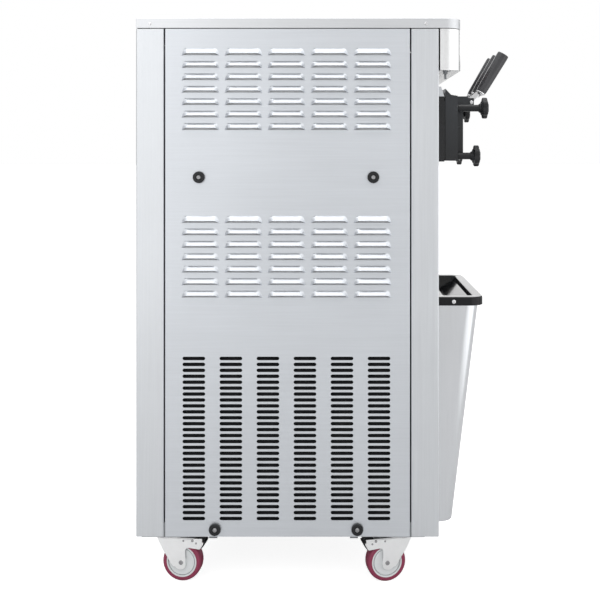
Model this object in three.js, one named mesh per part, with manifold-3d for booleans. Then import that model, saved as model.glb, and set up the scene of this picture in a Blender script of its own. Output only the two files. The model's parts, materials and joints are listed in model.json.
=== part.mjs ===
// Floor-standing three-flavour soft-serve ice cream maker on casters.
// Millimetres, +Z up. The front (draw handles) faces -Y, the sides face -X and +X.
// "left" and "right" are as seen by someone facing the front: left is -X.
import * as THREE from "three";
import { mergeVertices } from "three/addons/utils/BufferGeometryUtils.js";
import Module from "manifold-3d";

const wasm = await Module();
wasm.setup();

// ---------- driving dimensions ----------
const HALF_WIDTH = 270; // cabinet, centre to the side faces
const HALF_DEPTH = 340; // cabinet, centre to the front and rear faces
const CABINET_BOTTOM = 116;
const PANEL_TOP = 1256;
const COVER_BOTTOM = 1258;
const COVER_TOP = 1280;
const SHEET = 1.5; // folded stainless sheet
const GAP = 0.3; // clearance between touching pieces
const CORNER_RETURN = 62; // side returns of the front and rear panels
const PANEL_HALF = 275; // side panels, centre to the vertical edges

const CONSOLE_FRONT = -392.3;
const CONSOLE_BOTTOM = 1163;
const CONSOLE_RADIUS = 40;

const HOOD_WIDTH = 80.3; // louvre hoods
const HOOD_HEIGHT = 16;
const HOOD_DEPTH = 9;
const HOOD_PITCH_Y = 96.5;
const HOOD_PITCH_Z = 27.9;
const HOOD_FIRST_Y = 236.8;
const HOOD_TOPS = [1211.7, 835.8];
const HOOD_COLUMNS = 5;
const HOOD_ROWS = 7;

const VENT_WIDTH = 51; // tall vent windows, low on the side panels
const VENT_PITCH_Y = 83.1;
const VENT_FIRST_Y = 235.5;
const VENT_TOP = 520.2;
const VENT_BOTTOM = 153;
const VENT_COLUMNS = 6;

const CYLINDER_X = 86; // freezing cylinders
const CYLINDER_Z = 1034;
const BARREL_OUTER = 62;
const BARREL_INNER = 50;
const STUD_X = 161.6;
const STUD_UPPER_Z = 1082.5;
const STUD_LOWER_Z = 970;

const DRAW_X = [-85, 0, 85]; // draw valves
const PISTON_Y = -394;
const PISTON_RADIUS = 11;
const PIVOT_Y = -434;
const PIVOT_Z = 1098.5;

const TRAY_TOP = 645; // drip tray and the apron below it
const TRAY_BOTTOM = 625;
const TRAY_FRONT = -451;
const TRAY_HALF = 210;
const APRON_HALF = 200;
const APRON_TOP_FRONT = -441;
const APRON_LOW_FRONT = -380;
const APRON_BOTTOM = 124;

const DECK_Z = 640; // shelf between the machinery and the drive
const MOTOR_Z = 760;
const MOTOR_PULLEY_RADIUS = 32;
const GEAR_PULLEY_RADIUS = 60;
const PULLEY_Y = 70;
const PULLEY_WIDTH = 16;

const WHEEL_RADIUS = 45; // casters
const WHEEL_HALF_WIDTH = 16;
const HUB_RADIUS = 35;
const CASTER_TRAIL = 36;
const CASTER_X = 213;
const CASTER_REAR_Y = 277;
const CASTER_FRONT_Y = -257;
const CASTER_REAR_YAW = 8; // degrees away from straight
const CASTER_FRONT_YAW = 12;

// ---------- shape helpers ----------
const DIRECTIONS = {
  x: [[0, 1, 0], [0, 0, 1], [1, 0, 0]], // outline in (y, z), depth along +x
  y: [[1, 0, 0], [0, 0, 1], [0, -1, 0]], // outline in (x, z), depth along -y
  z: [[1, 0, 0], [0, 1, 0], [0, 0, 1]], // outline in (x, y), depth along +z
};

function solid(geometry) {
  const bare = geometry.index ? geometry.toNonIndexed() : geometry.clone();
  bare.deleteAttribute("normal");
  bare.deleteAttribute("uv");
  const merged = mergeVertices(bare, 1e-4);
  return new wasm.Manifold(
    new wasm.Mesh({
      numProp: 3,
      vertProperties: new Float32Array(merged.attributes.position.array),
      triVerts: new Uint32Array(merged.index.array),
    }),
  );
}

function join(...parts) {
  return parts.reduce((sum, part) => sum.add(part));
}

function cut(body, ...tools) {
  return tools.reduce((rest, tool) => rest.subtract(tool), body);
}

function box(x0, x1, y0, y1, z0, z1) {
  const geometry = new THREE.BoxGeometry(x1 - x0, y1 - y0, z1 - z0);
  geometry.translate((x0 + x1) / 2, (y0 + y1) / 2, (z0 + z1) / 2);
  return solid(geometry);
}

// A box given by the distances of its near and far X faces from the middle, on one side.
function sideBox(side, near, far, y0, y1, z0, z1) {
  const [x0, x1] = side < 0 ? [-far, -near] : [near, far];
  return box(x0, x1, y0, y1, z0, z1);
}

function rod(axis, at, from, to, radius, sides = 16) {
  const geometry = new THREE.CylinderGeometry(radius, radius, to - from, sides);
  const middle = (from + to) / 2;
  if (axis === "x") {
    geometry.rotateZ(-Math.PI / 2);
    geometry.translate(middle, at[0], at[1]);
  } else if (axis === "y") {
    geometry.translate(at[0], middle, at[1]);
  } else {
    geometry.rotateX(Math.PI / 2);
    geometry.translate(at[0], at[1], middle);
  }
  return solid(geometry);
}

// A profile of [radius, height] points, height rising, turned about an axis through `at`.
function turned(profile, axis, at, sides = 20) {
  const points = profile.map(([radius, height]) => new THREE.Vector2(radius, height));
  const geometry = new THREE.LatheGeometry(points, sides);
  if (axis === "z") {
    geometry.rotateX(Math.PI / 2);
  } else if (axis === "x") {
    geometry.rotateZ(-Math.PI / 2);
  } else if (axis === "-y") {
    geometry.rotateX(Math.PI);
  }
  geometry.translate(...at);
  return solid(geometry);
}

function toVectors(outline) {
  return outline.map(([u, v]) => new THREE.Vector2(u, v));
}

function extruded(outline, axis, from, to) {
  const shape = new THREE.Shape(toVectors(outline));
  const geometry = new THREE.ExtrudeGeometry(shape, { depth: to - from, bevelEnabled: false });
  const basis = DIRECTIONS[axis].map((v) => new THREE.Vector3(...v));
  geometry.applyMatrix4(new THREE.Matrix4().makeBasis(...basis));
  const start = axis === "y" ? to : from;
  geometry.translate(axis === "x" ? start : 0, axis === "y" ? start : 0, axis === "z" ? start : 0);
  return solid(geometry);
}

// Joins two outlines with the same number of points, one above the other.
function lofted(lower, upper, z0, z1) {
  const shape = new THREE.Shape(toVectors(upper));
  const geometry = new THREE.ExtrudeGeometry(shape, { depth: z1 - z0, bevelEnabled: false });
  const position = geometry.attributes.position;
  for (let i = 0; i < position.count; i += 1) {
    if (position.getZ(i) > (z1 - z0) / 2) continue;
    const distances = upper.map(([u, v]) => Math.hypot(u - position.getX(i), v - position.getY(i)));
    const match = distances.indexOf(Math.min(...distances));
    position.setXY(i, lower[match][0], lower[match][1]);
  }
  geometry.translate(0, 0, z0);
  return solid(geometry);
}

function arc(u, v, radius, fromDegrees, toDegrees, steps) {
  const points = [];
  for (let i = 0; i <= steps; i += 1) {
    const angle = THREE.MathUtils.degToRad(fromDegrees + ((toDegrees - fromDegrees) * i) / steps);
    points.push([u + radius * Math.cos(angle), v + radius * Math.sin(angle)]);
  }
  return points;
}

function roundedRectangle(u0, u1, v0, v1, radius, steps = 3) {
  return [
    ...arc(u1 - radius, v1 - radius, radius, 0, 90, steps),
    ...arc(u0 + radius, v1 - radius, radius, 90, 180, steps),
    ...arc(u0 + radius, v0 + radius, radius, 180, 270, steps),
    ...arc(u1 - radius, v0 + radius, radius, 270, 360, steps),
  ];
}

// A straight back and a front with two rounded corners, in (x, y) with the front at low y.
function roundedFront(half, back, front, radius, steps = 4) {
  return [
    [half, back],
    [-half, back],
    ...arc(-half + radius, front + radius, radius, 180, 270, steps),
    ...arc(half - radius, front + radius, radius, 270, 360, steps),
  ];
}

// ---------- the scene graph ----------
const machine = new THREE.Group();

const STEEL = { color: 0xd9dcdf, roughness: 0.35, metalness: 0.9 };
const DARK_STEEL = { color: 0x8d9196, roughness: 0.5, metalness: 0.8 };
const ZINC = { color: 0xe6e8ea, roughness: 0.3, metalness: 0.9 };
const BLACK = { color: 0x18191b, roughness: 0.35, metalness: 0.0 };
const ENAMEL = { color: 0x202225, roughness: 0.5, metalness: 0.2 };
const RUBBER = { color: 0x1b1b1b, roughness: 0.9, metalness: 0.0 };
const WHITE = { color: 0xeceae4, roughness: 0.5, metalness: 0.0 };
const TYRE = { color: 0x94445c, roughness: 0.55, metalness: 0.0 };
const HUB = { color: 0xc8cdcf, roughness: 0.5, metalness: 0.0 };
const COPPER = { color: 0xa5683f, roughness: 0.4, metalness: 0.9 };

// Adds a solid as a named mesh whose own origin is its pivot.
function add(name, body, material, pivot = [0, 0, 0], parent = machine) {
  const faces = body.getMesh();
  const geometry = new THREE.BufferGeometry();
  geometry.setAttribute("position", new THREE.BufferAttribute(faces.vertProperties, 3));
  geometry.setIndex(new THREE.BufferAttribute(faces.triVerts, 1));
  geometry.translate(-pivot[0], -pivot[1], -pivot[2]);
  geometry.computeVertexNormals();
  const mesh = new THREE.Mesh(geometry, new THREE.MeshStandardMaterial(material));
  mesh.name = name;
  mesh.position.set(...pivot);
  parent.add(mesh);
}

// ---------- base frame: pan, corner posts, caster plates, panel tabs ----------
const PAN_X = HALF_WIDTH - SHEET - 0.5;
const PAN_Y = HALF_DEPTH - SHEET - 0.5;
const POST_X = 256;
const POST_Y = 334;
const POST_LEG = 25;
const POST_SHEET = 3;
const KINGPIN_BORE = 6.4;

function basePan() {
  const floor = CABINET_BOTTOM + 3;
  let pan = cut(
    box(-PAN_X, PAN_X, -PAN_Y, PAN_Y, CABINET_BOTTOM, CABINET_BOTTOM + 32),
    box(-PAN_X + 2, PAN_X - 2, -PAN_Y + 2, PAN_Y - 2, floor, CABINET_BOTTOM + 40),
  );
  for (const sx of [-1, 1]) {
    for (const sy of [-1, 1]) {
      const y1 = sy * POST_Y;
      const y0 = sy * (POST_Y - POST_LEG);
      const yThin = sy * (POST_Y - POST_SHEET);
      const legA = sideBox(sx, POST_X - POST_SHEET, POST_X, Math.min(y0, y1), Math.max(y0, y1),
        floor - 1, PANEL_TOP - 4);
      const legB = sideBox(sx, POST_X - POST_LEG, POST_X, Math.min(yThin, y1), Math.max(yThin, y1),
        floor - 1, PANEL_TOP - 4);
      pan = join(pan, legA, legB);
      const kingpinY = sy < 0 ? CASTER_FRONT_Y : CASTER_REAR_Y;
      const plate = sideBox(sx, CASTER_X - 46, CASTER_X + 46, kingpinY - 52, kingpinY + 52,
        CABINET_BOTTOM - 5, CABINET_BOTTOM + 1);
      const bore = rod("z", [sx * CASTER_X, kingpinY], CABINET_BOTTOM - 8, floor + 3, KINGPIN_BORE);
      pan = cut(join(pan, plate), bore);
    }
    for (const y of [167, -149.3]) {
      pan = join(pan, sideBox(sx, PAN_X - 14, PAN_X, y - 9, y + 9, CABINET_BOTTOM - 4, floor - 1));
    }
  }
  return pan;
}
add("base_frame", basePan(), DARK_STEEL);

// ---------- side panels with louvre hoods and vent windows ----------
function ventWindows(side) {
  const windows = [];
  for (let column = 0; column < VENT_COLUMNS; column += 1) {
    const y1 = VENT_FIRST_Y - column * VENT_PITCH_Y;
    windows.push(sideBox(side, HALF_WIDTH - 5, HALF_WIDTH + 5, y1 - VENT_WIDTH, y1,
      VENT_BOTTOM, VENT_TOP));
  }
  return windows;
}

// A wedge standing off the panel: a sloping top, and an underside that slopes back in.
function louvreHood(side, y1, top) {
  const outline = [[0, 0], [0, -HOOD_HEIGHT], [HOOD_DEPTH, -HOOD_HEIGHT * 0.62]];
  const shape = new THREE.Shape(toVectors(outline));
  const geometry = new THREE.ExtrudeGeometry(shape, { depth: HOOD_WIDTH, bevelEnabled: false });
  const across = new THREE.Vector3(side, 0, 0);
  const up = new THREE.Vector3(0, 0, 1);
  const along = new THREE.Vector3().crossVectors(across, up);
  geometry.applyMatrix4(new THREE.Matrix4().makeBasis(across, up, along));
  const start = along.y > 0 ? y1 - HOOD_WIDTH : y1;
  geometry.translate(side * (HALF_WIDTH - 0.01), start, top);
  return solid(geometry);
}

function sidePanel(side) {
  const inner = HALF_WIDTH - SHEET;
  const outline = [
    [-PANEL_HALF, CABINET_BOTTOM + GAP],
    [PANEL_HALF, CABINET_BOTTOM + GAP],
    [PANEL_HALF, PANEL_TOP],
    [-PANEL_HALF, PANEL_TOP],
  ];
  const x0 = side < 0 ? -HALF_WIDTH : inner;
  let panel = cut(extruded(outline, "x", x0, x0 + SHEET), ...ventWindows(side));
  for (const end of [-1, 1]) {
    const y0 = end < 0 ? -PANEL_HALF : PANEL_HALF - SHEET;
    panel = join(panel, sideBox(side, inner - 8, inner + 0.5, y0, y0 + SHEET, 156, PANEL_TOP));
  }
  const hoods = [];
  for (const blockTop of HOOD_TOPS) {
    for (let row = 0; row < HOOD_ROWS; row += 1) {
      for (let column = 0; column < HOOD_COLUMNS; column += 1) {
        const y1 = HOOD_FIRST_Y - column * HOOD_PITCH_Y;
        hoods.push(louvreHood(side, y1, blockTop - row * HOOD_PITCH_Z));
      }
    }
  }
  return join(panel, ...hoods);
}
add("side_panel_left", sidePanel(-1), STEEL);
add("side_panel_right", sidePanel(1), STEEL);

// ---------- front and rear panels, shelf, top cover ----------
function endPanel(end) {
  const outer = HALF_DEPTH;
  const sheetY = end < 0 ? [-outer, -outer + SHEET] : [outer - SHEET, outer];
  const returnY = end < 0 ? [-outer, -outer + CORNER_RETURN] : [outer - CORNER_RETURN, outer];
  let panel = box(-HALF_WIDTH, HALF_WIDTH, ...sheetY, CABINET_BOTTOM + GAP, PANEL_TOP);
  for (const side of [-1, 1]) {
    panel = join(panel, sideBox(side, HALF_WIDTH - SHEET, HALF_WIDTH, ...returnY,
      CABINET_BOTTOM + GAP, PANEL_TOP));
  }
  return panel;
}

function frontPanel() {
  let panel = endPanel(-1);
  for (const side of [-1, 1]) {
    const opening = rod("y", [side * CYLINDER_X, CYLINDER_Z], -345, -330, BARREL_OUTER + 2, 18);
    panel = cut(panel, opening);
    for (const z of [STUD_UPPER_Z, STUD_LOWER_Z]) {
      panel = cut(panel, rod("y", [side * STUD_X, z], -345, -330, 6, 8));
    }
  }
  return panel;
}
const GLAND_X = 150;
const GLAND_Z = 220;
add("front_panel", frontPanel(), STEEL);
add("rear_panel", cut(endPanel(1), rod("y", [GLAND_X, GLAND_Z], 330, 350, 10.3, 12)), STEEL);
add(
  "cable_gland",
  turned(
    [[6, 325], [9.5, 325], [9.5, 340.3], [14, 340.3], [14, 345], [9, 352], [6, 352], [6, 325]],
    "y", [GLAND_X, 0, GLAND_Z], 12,
  ),
  BLACK,
);

function shelf() {
  let deck = box(-257, 257, -336, 336, DECK_Z, DECK_Z + 3);
  for (const sx of [-1, 1]) {
    for (const sy of [-1, 1]) {
      const y0 = sy < 0 ? -340 : POST_Y - POST_LEG - GAP;
      const y1 = sy < 0 ? -POST_Y + POST_LEG + GAP : 340;
      deck = cut(deck, sideBox(sx, POST_X - POST_LEG - GAP, 260, y0, y1, DECK_Z - 5, DECK_Z + 8));
    }
  }
  return deck;
}
add("mid_deck", shelf(), DARK_STEEL);

const HOPPER_INNER_X = 38; // hopper walls, distance from the middle of the machine
const HOPPER_OUTER_X = 218;
const HOPPER_FRONT = -135;
const HOPPER_REAR = 205;
const HOPPER_BOTTOM = 1118;
const RIM = 7;
const RIM_TOP = COVER_TOP + 1.8;

function topCover() {
  const outer = roundedFront(HALF_WIDTH, HALF_DEPTH, CONSOLE_FRONT, CONSOLE_RADIUS, 6);
  const inner = roundedFront(HALF_WIDTH - SHEET, HALF_DEPTH - SHEET, CONSOLE_FRONT + SHEET,
    CONSOLE_RADIUS - SHEET, 6);
  let cover = cut(
    extruded(outer, "z", COVER_BOTTOM, COVER_TOP),
    extruded(inner, "z", COVER_BOTTOM - 5, COVER_TOP - SHEET),
  );
  for (const side of [-1, 1]) {
    cover = cut(cover, sideBox(side, HOPPER_INNER_X - 1, HOPPER_OUTER_X + 1, HOPPER_FRONT - 1,
      HOPPER_REAR + 1, COVER_TOP - 10, COVER_TOP + 10));
  }
  return cover;
}
add("top_cover", topCover(), STEEL);

// ---------- console over the dispensing head ----------
function consoleHousing() {
  const outer = roundedFront(HALF_WIDTH, -HALF_DEPTH - GAP, CONSOLE_FRONT, CONSOLE_RADIUS, 6);
  const inner = roundedFront(HALF_WIDTH - 2, -HALF_DEPTH + 5, CONSOLE_FRONT + 6,
    CONSOLE_RADIUS - 2, 4);
  const shell = cut(
    extruded(outer, "z", CONSOLE_BOTTOM, COVER_BOTTOM - 1),
    extruded(inner, "z", CONSOLE_BOTTOM + 2, COVER_BOTTOM - 3),
  );
  return cut(shell, box(-150, 150, CONSOLE_FRONT - 5, CONSOLE_FRONT + 3, 1176, 1244));
}
add("console_housing", consoleHousing(), STEEL);

function controlPanel() {
  const face = CONSOLE_FRONT;
  let panel = box(-149.7, 149.7, face + 0.6, face + 2.7, 1176.3, 1243.7);
  for (const x of [-110, -70, -30, 30, 70, 110]) {
    panel = join(panel, rod("y", [x, 1192], face, face + 1, 8, 8));
  }
  return join(panel, box(-60, 60, face + 0.1, face + 1, 1208, 1236));
}
add("control_panel", controlPanel(), ENAMEL);

// ---------- dispensing head ----------
function throughHoles(body, radius, y0, y1) {
  let result = body;
  for (const side of [-1, 1]) {
    for (const z of [STUD_UPPER_Z, STUD_LOWER_Z]) {
      result = cut(result, rod("y", [side * STUD_X, z], y0, y1, radius, 8));
    }
  }
  return result;
}

function bezel() {
  const back = -HALF_DEPTH - GAP;
  const outline = [[back, 957], [back, 1131.5], [-354, 1131.5], [-361.2, 1109],
    [-362, 1107], [-362, 957]];
  let body = extruded([...outline].reverse(), "x", -181, 181);
  for (const side of [-1, 1]) {
    body = cut(body, rod("y", [side * CYLINDER_X, CYLINDER_Z], -370, -330, BARREL_INNER, 18));
  }
  return throughHoles(body, 5.8, -370, -330);
}
add("cylinder_bezel", bezel(), STEEL);

const LUG_X = [-106, -42.5, 42.5, 106];
const SLOT_HALF = 6;

function valveBlock() {
  const main = extruded(
    [[-364.5, 959], [-364.5, 1127.5], [-377.5, 1113.5], [-393.5, 1110], [-393.5, 959]].reverse(),
    "x", -178, 178,
  );
  const gasket = box(-174, 174, -366, -362 - GAP, 963, 1099);
  const chambers = box(-118, 118, -413.5, -390, 976, 1095);
  const mount = box(-112, 112, -426, -378, 1090, 1113);
  let block = join(main, gasket, chambers, mount);
  for (const x of LUG_X) {
    block = join(block, box(x - 5, x + 5, -440.5, -420, 1089, 1109));
  }
  for (const x of DRAW_X) {
    block = join(block, rod("z", [x, PISTON_Y], 958, 985, 16, 12));
  }
  for (const x of DRAW_X) {
    block = cut(
      block,
      rod("z", [x, PISTON_Y], 950, 1120, PISTON_RADIUS + 0.6, 12),
      box(x - SLOT_HALF, x + SLOT_HALF, -440, PISTON_Y + 14, 1074, 1120),
      box(x - 9, x + 9, PISTON_Y + 2, -355, 1000, 1014),
    );
  }
  block = cut(block, rod("x", [PIVOT_Y, PIVOT_Z], -130, 130, 4.5, 12));
  return throughHoles(block, 5.8, -420, -350);
}
add("valve_block", valveBlock(), BLACK);
add("handle_pivot_pin", rod("x", [PIVOT_Y, PIVOT_Z], -115, 115, 4, 12), ZINC);

const GRIP_FOOT = [-460.3, 1123.9];
const GRIP_TIP = [-515.5, 1216.8];
const ARM_TIP = [PISTON_Y, PIVOT_Z - 12];

function drawHandle(x) {
  const hub = rod("x", [PIVOT_Y, PIVOT_Z], x - 4, x + 4, 10, 12);
  const tip = rod("x", ARM_TIP, x - 4, x + 4, 5.5, 8);
  const rear = extruded(
    [[PIVOT_Y, PIVOT_Z - 6], [ARM_TIP[0], ARM_TIP[1] - 2.5], [ARM_TIP[0], ARM_TIP[1] + 2.5],
      [PIVOT_Y, PIVOT_Z + 4]],
    "x", x - 4, x + 4,
  );
  const link = extruded(
    [[PIVOT_Y + 6, PIVOT_Z + 7], [GRIP_FOOT[0] + 4, GRIP_FOOT[1] + 10],
      [GRIP_FOOT[0] - 10, GRIP_FOOT[1] + 4], [PIVOT_Y - 7, PIVOT_Z - 6]].reverse(),
    "x", x - 4, x + 4,
  );
  const length = Math.hypot(GRIP_TIP[0] - GRIP_FOOT[0], GRIP_TIP[1] - GRIP_FOOT[1]);
  const lean = Math.atan2(GRIP_FOOT[0] - GRIP_TIP[0], GRIP_TIP[1] - GRIP_FOOT[1]);
  const profile = [[0, 0], [10.5, 0], [12, 2], [14.8, length - 12], [14.6, length - 1.5],
    [13.4, length], [0, length]];
  const points = profile.map(([radius, height]) => new THREE.Vector2(radius, height));
  const grip = new THREE.LatheGeometry(points, 12);
  grip.rotateX(Math.PI / 2 + lean);
  grip.translate(x, ...GRIP_FOOT);
  return cut(join(hub, tip, rear, link, solid(grip)),
    rod("x", [PIVOT_Y, PIVOT_Z], x - 10, x + 10, 4.4, 12));
}

function drawPiston(x) {
  const body = turned(
    [[0, 984], [PISTON_RADIUS, 984], [PISTON_RADIUS, 1114], [PISTON_RADIUS - 3, 1117], [0, 1117]],
    "z", [x, PISTON_Y, 0], 12,
  );
  return cut(body, box(x - 4.6, x + 4.6, PISTON_Y - 15, PISTON_Y + 15, ARM_TIP[1] - 8.5,
    ARM_TIP[1] + 8.5));
}

const SIDES3 = ["left", "center", "right"];
DRAW_X.forEach((x, i) => {
  add(`draw_handle_${SIDES3[i]}`, drawHandle(x), BLACK, [x, PIVOT_Y, PIVOT_Z]);
  add(`draw_piston_${SIDES3[i]}`, drawPiston(x), WHITE, [x, PISTON_Y, 1000]);
});

// ---------- star knobs on the four studs ----------
const KNOBS = [
  ["upper", STUD_UPPER_Z, -448.6, -466.7, 23.7, -395],
  ["lower", STUD_LOWER_Z, -428.8, -447.2, 24.2, -394],
];

function starOutline(x, z, radius) {
  const points = [];
  for (let i = 0; i < 18; i += 1) {
    const angle = (i / 18) * 2 * Math.PI + Math.PI / 6;
    const reach = i % 3 === 0 ? radius * 0.84 : radius;
    points.push([x + reach * Math.cos(angle), z + reach * Math.sin(angle)]);
  }
  return points;
}

for (const side of [-1, 1]) {
  for (const [level, z, back, front, radius, sleeveBack] of KNOBS) {
    const x = side * STUD_X;
    const head = extruded(starOutline(x, z, radius), "y", front, back);
    const sleeve = rod("y", [x, z], back - 2, sleeveBack, 8, 12);
    const bore = rod("y", [x, z], back - 8, sleeveBack + 2, 5.8, 8);
    const name = `star_knob_${level}_${side < 0 ? "left" : "right"}`;
    add(name, cut(join(head, sleeve), bore), BLACK, [x, back, z]);
  }
}

// ---------- freezing cylinders, beaters, hoppers ----------
const FEED_Y = -110;
const BARREL_REAR = -50;

function freezingCylinder(side) {
  const x = side * CYLINDER_X;
  const barrel = turned(
    [[BARREL_INNER, -HALF_DEPTH], [BARREL_OUTER, -HALF_DEPTH], [BARREL_OUTER, BARREL_REAR],
      [11, BARREL_REAR], [11, BARREL_REAR - 8], [BARREL_INNER, BARREL_REAR - 8],
      [BARREL_INNER, -HALF_DEPTH]],
    "y", [x, 0, CYLINDER_Z], 18,
  );
  const flange = cut(
    sideBox(side, 14, 176, -337, -331, 957, 1098),
    rod("y", [x, CYLINDER_Z], -345, -325, BARREL_OUTER - 4, 18),
  );
  let body = join(barrel, flange);
  for (const [level, z, back] of KNOBS) {
    body = join(body, rod("y", [side * STUD_X, z], back - 6, -334, 5, 8));
  }
  return cut(body, rod("z", [x, FEED_Y], CYLINDER_Z + 30, CYLINDER_Z + 80, 8, 10));
}

function beater(side) {
  const x = side * CYLINDER_X;
  let body = rod("y", [x, CYLINDER_Z], -335, -15, 9, 12);
  for (let i = 0; i < 5; i += 1) {
    const paddle = new THREE.BoxGeometry(2 * (BARREL_INNER - 2.5), 30, 4);
    paddle.rotateY((i * Math.PI) / 5);
    paddle.translate(x, -300 + i * 52, CYLINDER_Z);
    body = join(body, solid(paddle));
  }
  return body;
}

function hopper(side) {
  const x0 = Math.min(side * HOPPER_INNER_X, side * HOPPER_OUTER_X);
  const x1 = Math.max(side * HOPPER_INNER_X, side * HOPPER_OUTER_X);
  const outer = extruded(roundedRectangle(x0, x1, HOPPER_FRONT, HOPPER_REAR, 22), "z",
    HOPPER_BOTTOM, RIM_TOP - 0.5);
  const rim = extruded(
    roundedRectangle(x0 - RIM, x1 + RIM, HOPPER_FRONT - RIM, HOPPER_REAR + RIM, 22), "z",
    COVER_TOP + GAP, RIM_TOP);
  const inner = extruded(
    roundedRectangle(x0 + 2, x1 - 2, HOPPER_FRONT + 2, HOPPER_REAR - 2, 20), "z",
    HOPPER_BOTTOM + 2, RIM_TOP + 5);
  const feed = rod("z", [side * CYLINDER_X, FEED_Y], CYLINDER_Z + BARREL_OUTER + 1,
    HOPPER_BOTTOM + 1, 12, 12);
  const hole = rod("z", [side * CYLINDER_X, FEED_Y], CYLINDER_Z, HOPPER_BOTTOM + 20, 8, 10);
  return cut(join(outer, rim, feed), inner, hole);
}

function hopperLid(side) {
  const x0 = Math.min(side * HOPPER_INNER_X, side * HOPPER_OUTER_X);
  const x1 = Math.max(side * HOPPER_INNER_X, side * HOPPER_OUTER_X);
  const base = RIM_TOP + GAP;
  const sheet = extruded(
    roundedRectangle(x0 - RIM, x1 + RIM, HOPPER_FRONT - RIM, HOPPER_REAR + RIM, 22), "z",
    base, base + 2);
  const plug = cut(
    extruded(roundedRectangle(x0 + 5, x1 - 5, HOPPER_FRONT + 5, HOPPER_REAR - 5, 18, 2), "z",
      base - 10, base + 0.5),
    extruded(roundedRectangle(x0 + 8, x1 - 8, HOPPER_FRONT + 8, HOPPER_REAR - 8, 15, 2), "z",
      base - 15, base + 5),
  );
  const crown = extruded(
    roundedRectangle(x0 + 32, x1 - 32, HOPPER_FRONT + 26, HOPPER_REAR - 26, 14), "z",
    base + 1, base + 5);
  const middle = (x0 + x1) / 2;
  const grip = box(middle - 9, middle + 9, -20, 90, base + 4, base + 13);
  return join(sheet, plug, crown, grip);
}

for (const side of [-1, 1]) {
  const name = side < 0 ? "left" : "right";
  const middle = (side * (HOPPER_INNER_X + HOPPER_OUTER_X)) / 2;
  add(`freezing_cylinder_${name}`, freezingCylinder(side), STEEL);
  add(`beater_${name}`, beater(side), STEEL, [side * CYLINDER_X, -180, CYLINDER_Z]);
  add(`hopper_${name}`, hopper(side), STEEL);
  add(`hopper_lid_${name}`, hopperLid(side), STEEL, [middle, 35, RIM_TOP]);
}

// ---------- drive: gearboxes, pulleys, belt and motor ----------
const GROOVE = 3;

function gearbox(side) {
  const x = side * CYLINDER_X;
  const body = box(x - 48, x + 48, BARREL_REAR + GAP, 40, CYLINDER_Z - 52, CYLINDER_Z + 52);
  const foot = sideBox(side, 98, 130, -20, 20, DECK_Z + 3 + GAP, CYLINDER_Z - 50);
  const nose = rod("y", [x, CYLINDER_Z], 38, 52, 24, 14);
  return cut(
    join(body, foot, nose),
    rod("y", [x, CYLINDER_Z], -60, 30, 9.6, 12),
    rod("y", [x, CYLINDER_Z], 20, 60, 8.6, 12),
  );
}

function pulley(x, z, radius, shaft, shaftEnd) {
  const half = PULLEY_WIDTH / 2;
  const wheel = turned(
    [[0, -half], [radius + 4, -half], [radius, -half + GROOVE], [radius, half - GROOVE],
      [radius + 4, half], [0, half]],
    "y", [x, PULLEY_Y, z], 20,
  );
  return join(wheel, rod("y", [x, z], shaftEnd, PULLEY_Y, shaft, 12));
}

// The outline of a belt round three pulleys, `extra` outside their grooves.
function beltOutline(extra) {
  const pulleys = [
    [-CYLINDER_X, CYLINDER_Z, GEAR_PULLEY_RADIUS],
    [CYLINDER_X, CYLINDER_Z, GEAR_PULLEY_RADIUS],
    [0, MOTOR_Z, MOTOR_PULLEY_RADIUS],
  ];
  const points = [];
  for (const [x, z, radius] of pulleys) {
    points.push(...arc(x, z, radius + extra, 0, 342, 19));
  }
  points.sort((a, b) => a[0] - b[0] || a[1] - b[1]);
  const turn = (o, a, b) => (a[0] - o[0]) * (b[1] - o[1]) - (a[1] - o[1]) * (b[0] - o[0]);
  const half = (list) => {
    const chain = [];
    for (const point of list) {
      while (chain.length > 1 && turn(chain.at(-2), chain.at(-1), point) <= 1e-6) {
        chain.pop();
      }
      chain.push(point);
    }
    chain.pop();
    return chain;
  };
  return [...half(points), ...half([...points].reverse())];
}

function driveBelt() {
  const half = PULLEY_WIDTH / 2 - GROOVE - 0.3;
  const y0 = PULLEY_Y - half;
  const y1 = PULLEY_Y + half;
  return cut(
    extruded(beltOutline(7), "y", y0, y1),
    extruded(beltOutline(1.6), "y", y0 - 5, y1 + 5),
  );
}

function driveMotor() {
  const body = turned(
    [[0, -130], [60, -130], [72, -118], [72, 20], [60, 34], [0, 34]],
    "y", [0, 0, MOTOR_Z], 20,
  );
  const feet = box(-60, 60, -100, 10, DECK_Z + 3 + GAP, DECK_Z + 60);
  return cut(join(body, feet), rod("y", [0, MOTOR_Z], 0, 45, 8.6, 12));
}

for (const side of [-1, 1]) {
  const name = side < 0 ? "left" : "right";
  const x = side * CYLINDER_X;
  add(`gearbox_${name}`, gearbox(side), DARK_STEEL);
  add(`gearbox_pulley_${name}`, pulley(x, CYLINDER_Z, GEAR_PULLEY_RADIUS, 8, 32), DARK_STEEL,
    [x, PULLEY_Y, CYLINDER_Z]);
}
add("drive_motor", driveMotor(), ENAMEL);
add("motor_pulley", pulley(0, MOTOR_Z, MOTOR_PULLEY_RADIUS, 8, 10), DARK_STEEL,
  [0, PULLEY_Y, MOTOR_Z]);
add("drive_belt", driveBelt(), RUBBER);

// ---------- refrigeration: compressor, condenser, fan ----------
const PAN_FLOOR = CABINET_BOTTOM + 3;
const FAN_Z = 330;

function compressor() {
  const shell = turned(
    [[0, 135], [70, 135], [92, 160], [96, 230], [90, 300], [60, 345], [0, 352]],
    "z", [110, 150, 0], 20,
  );
  const feet = box(30, 190, 70, 230, PAN_FLOOR + GAP, PAN_FLOOR + 20);
  const line = rod("z", [110, 150], 340, 420, 8, 10);
  return join(shell, feet, line);
}

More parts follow.
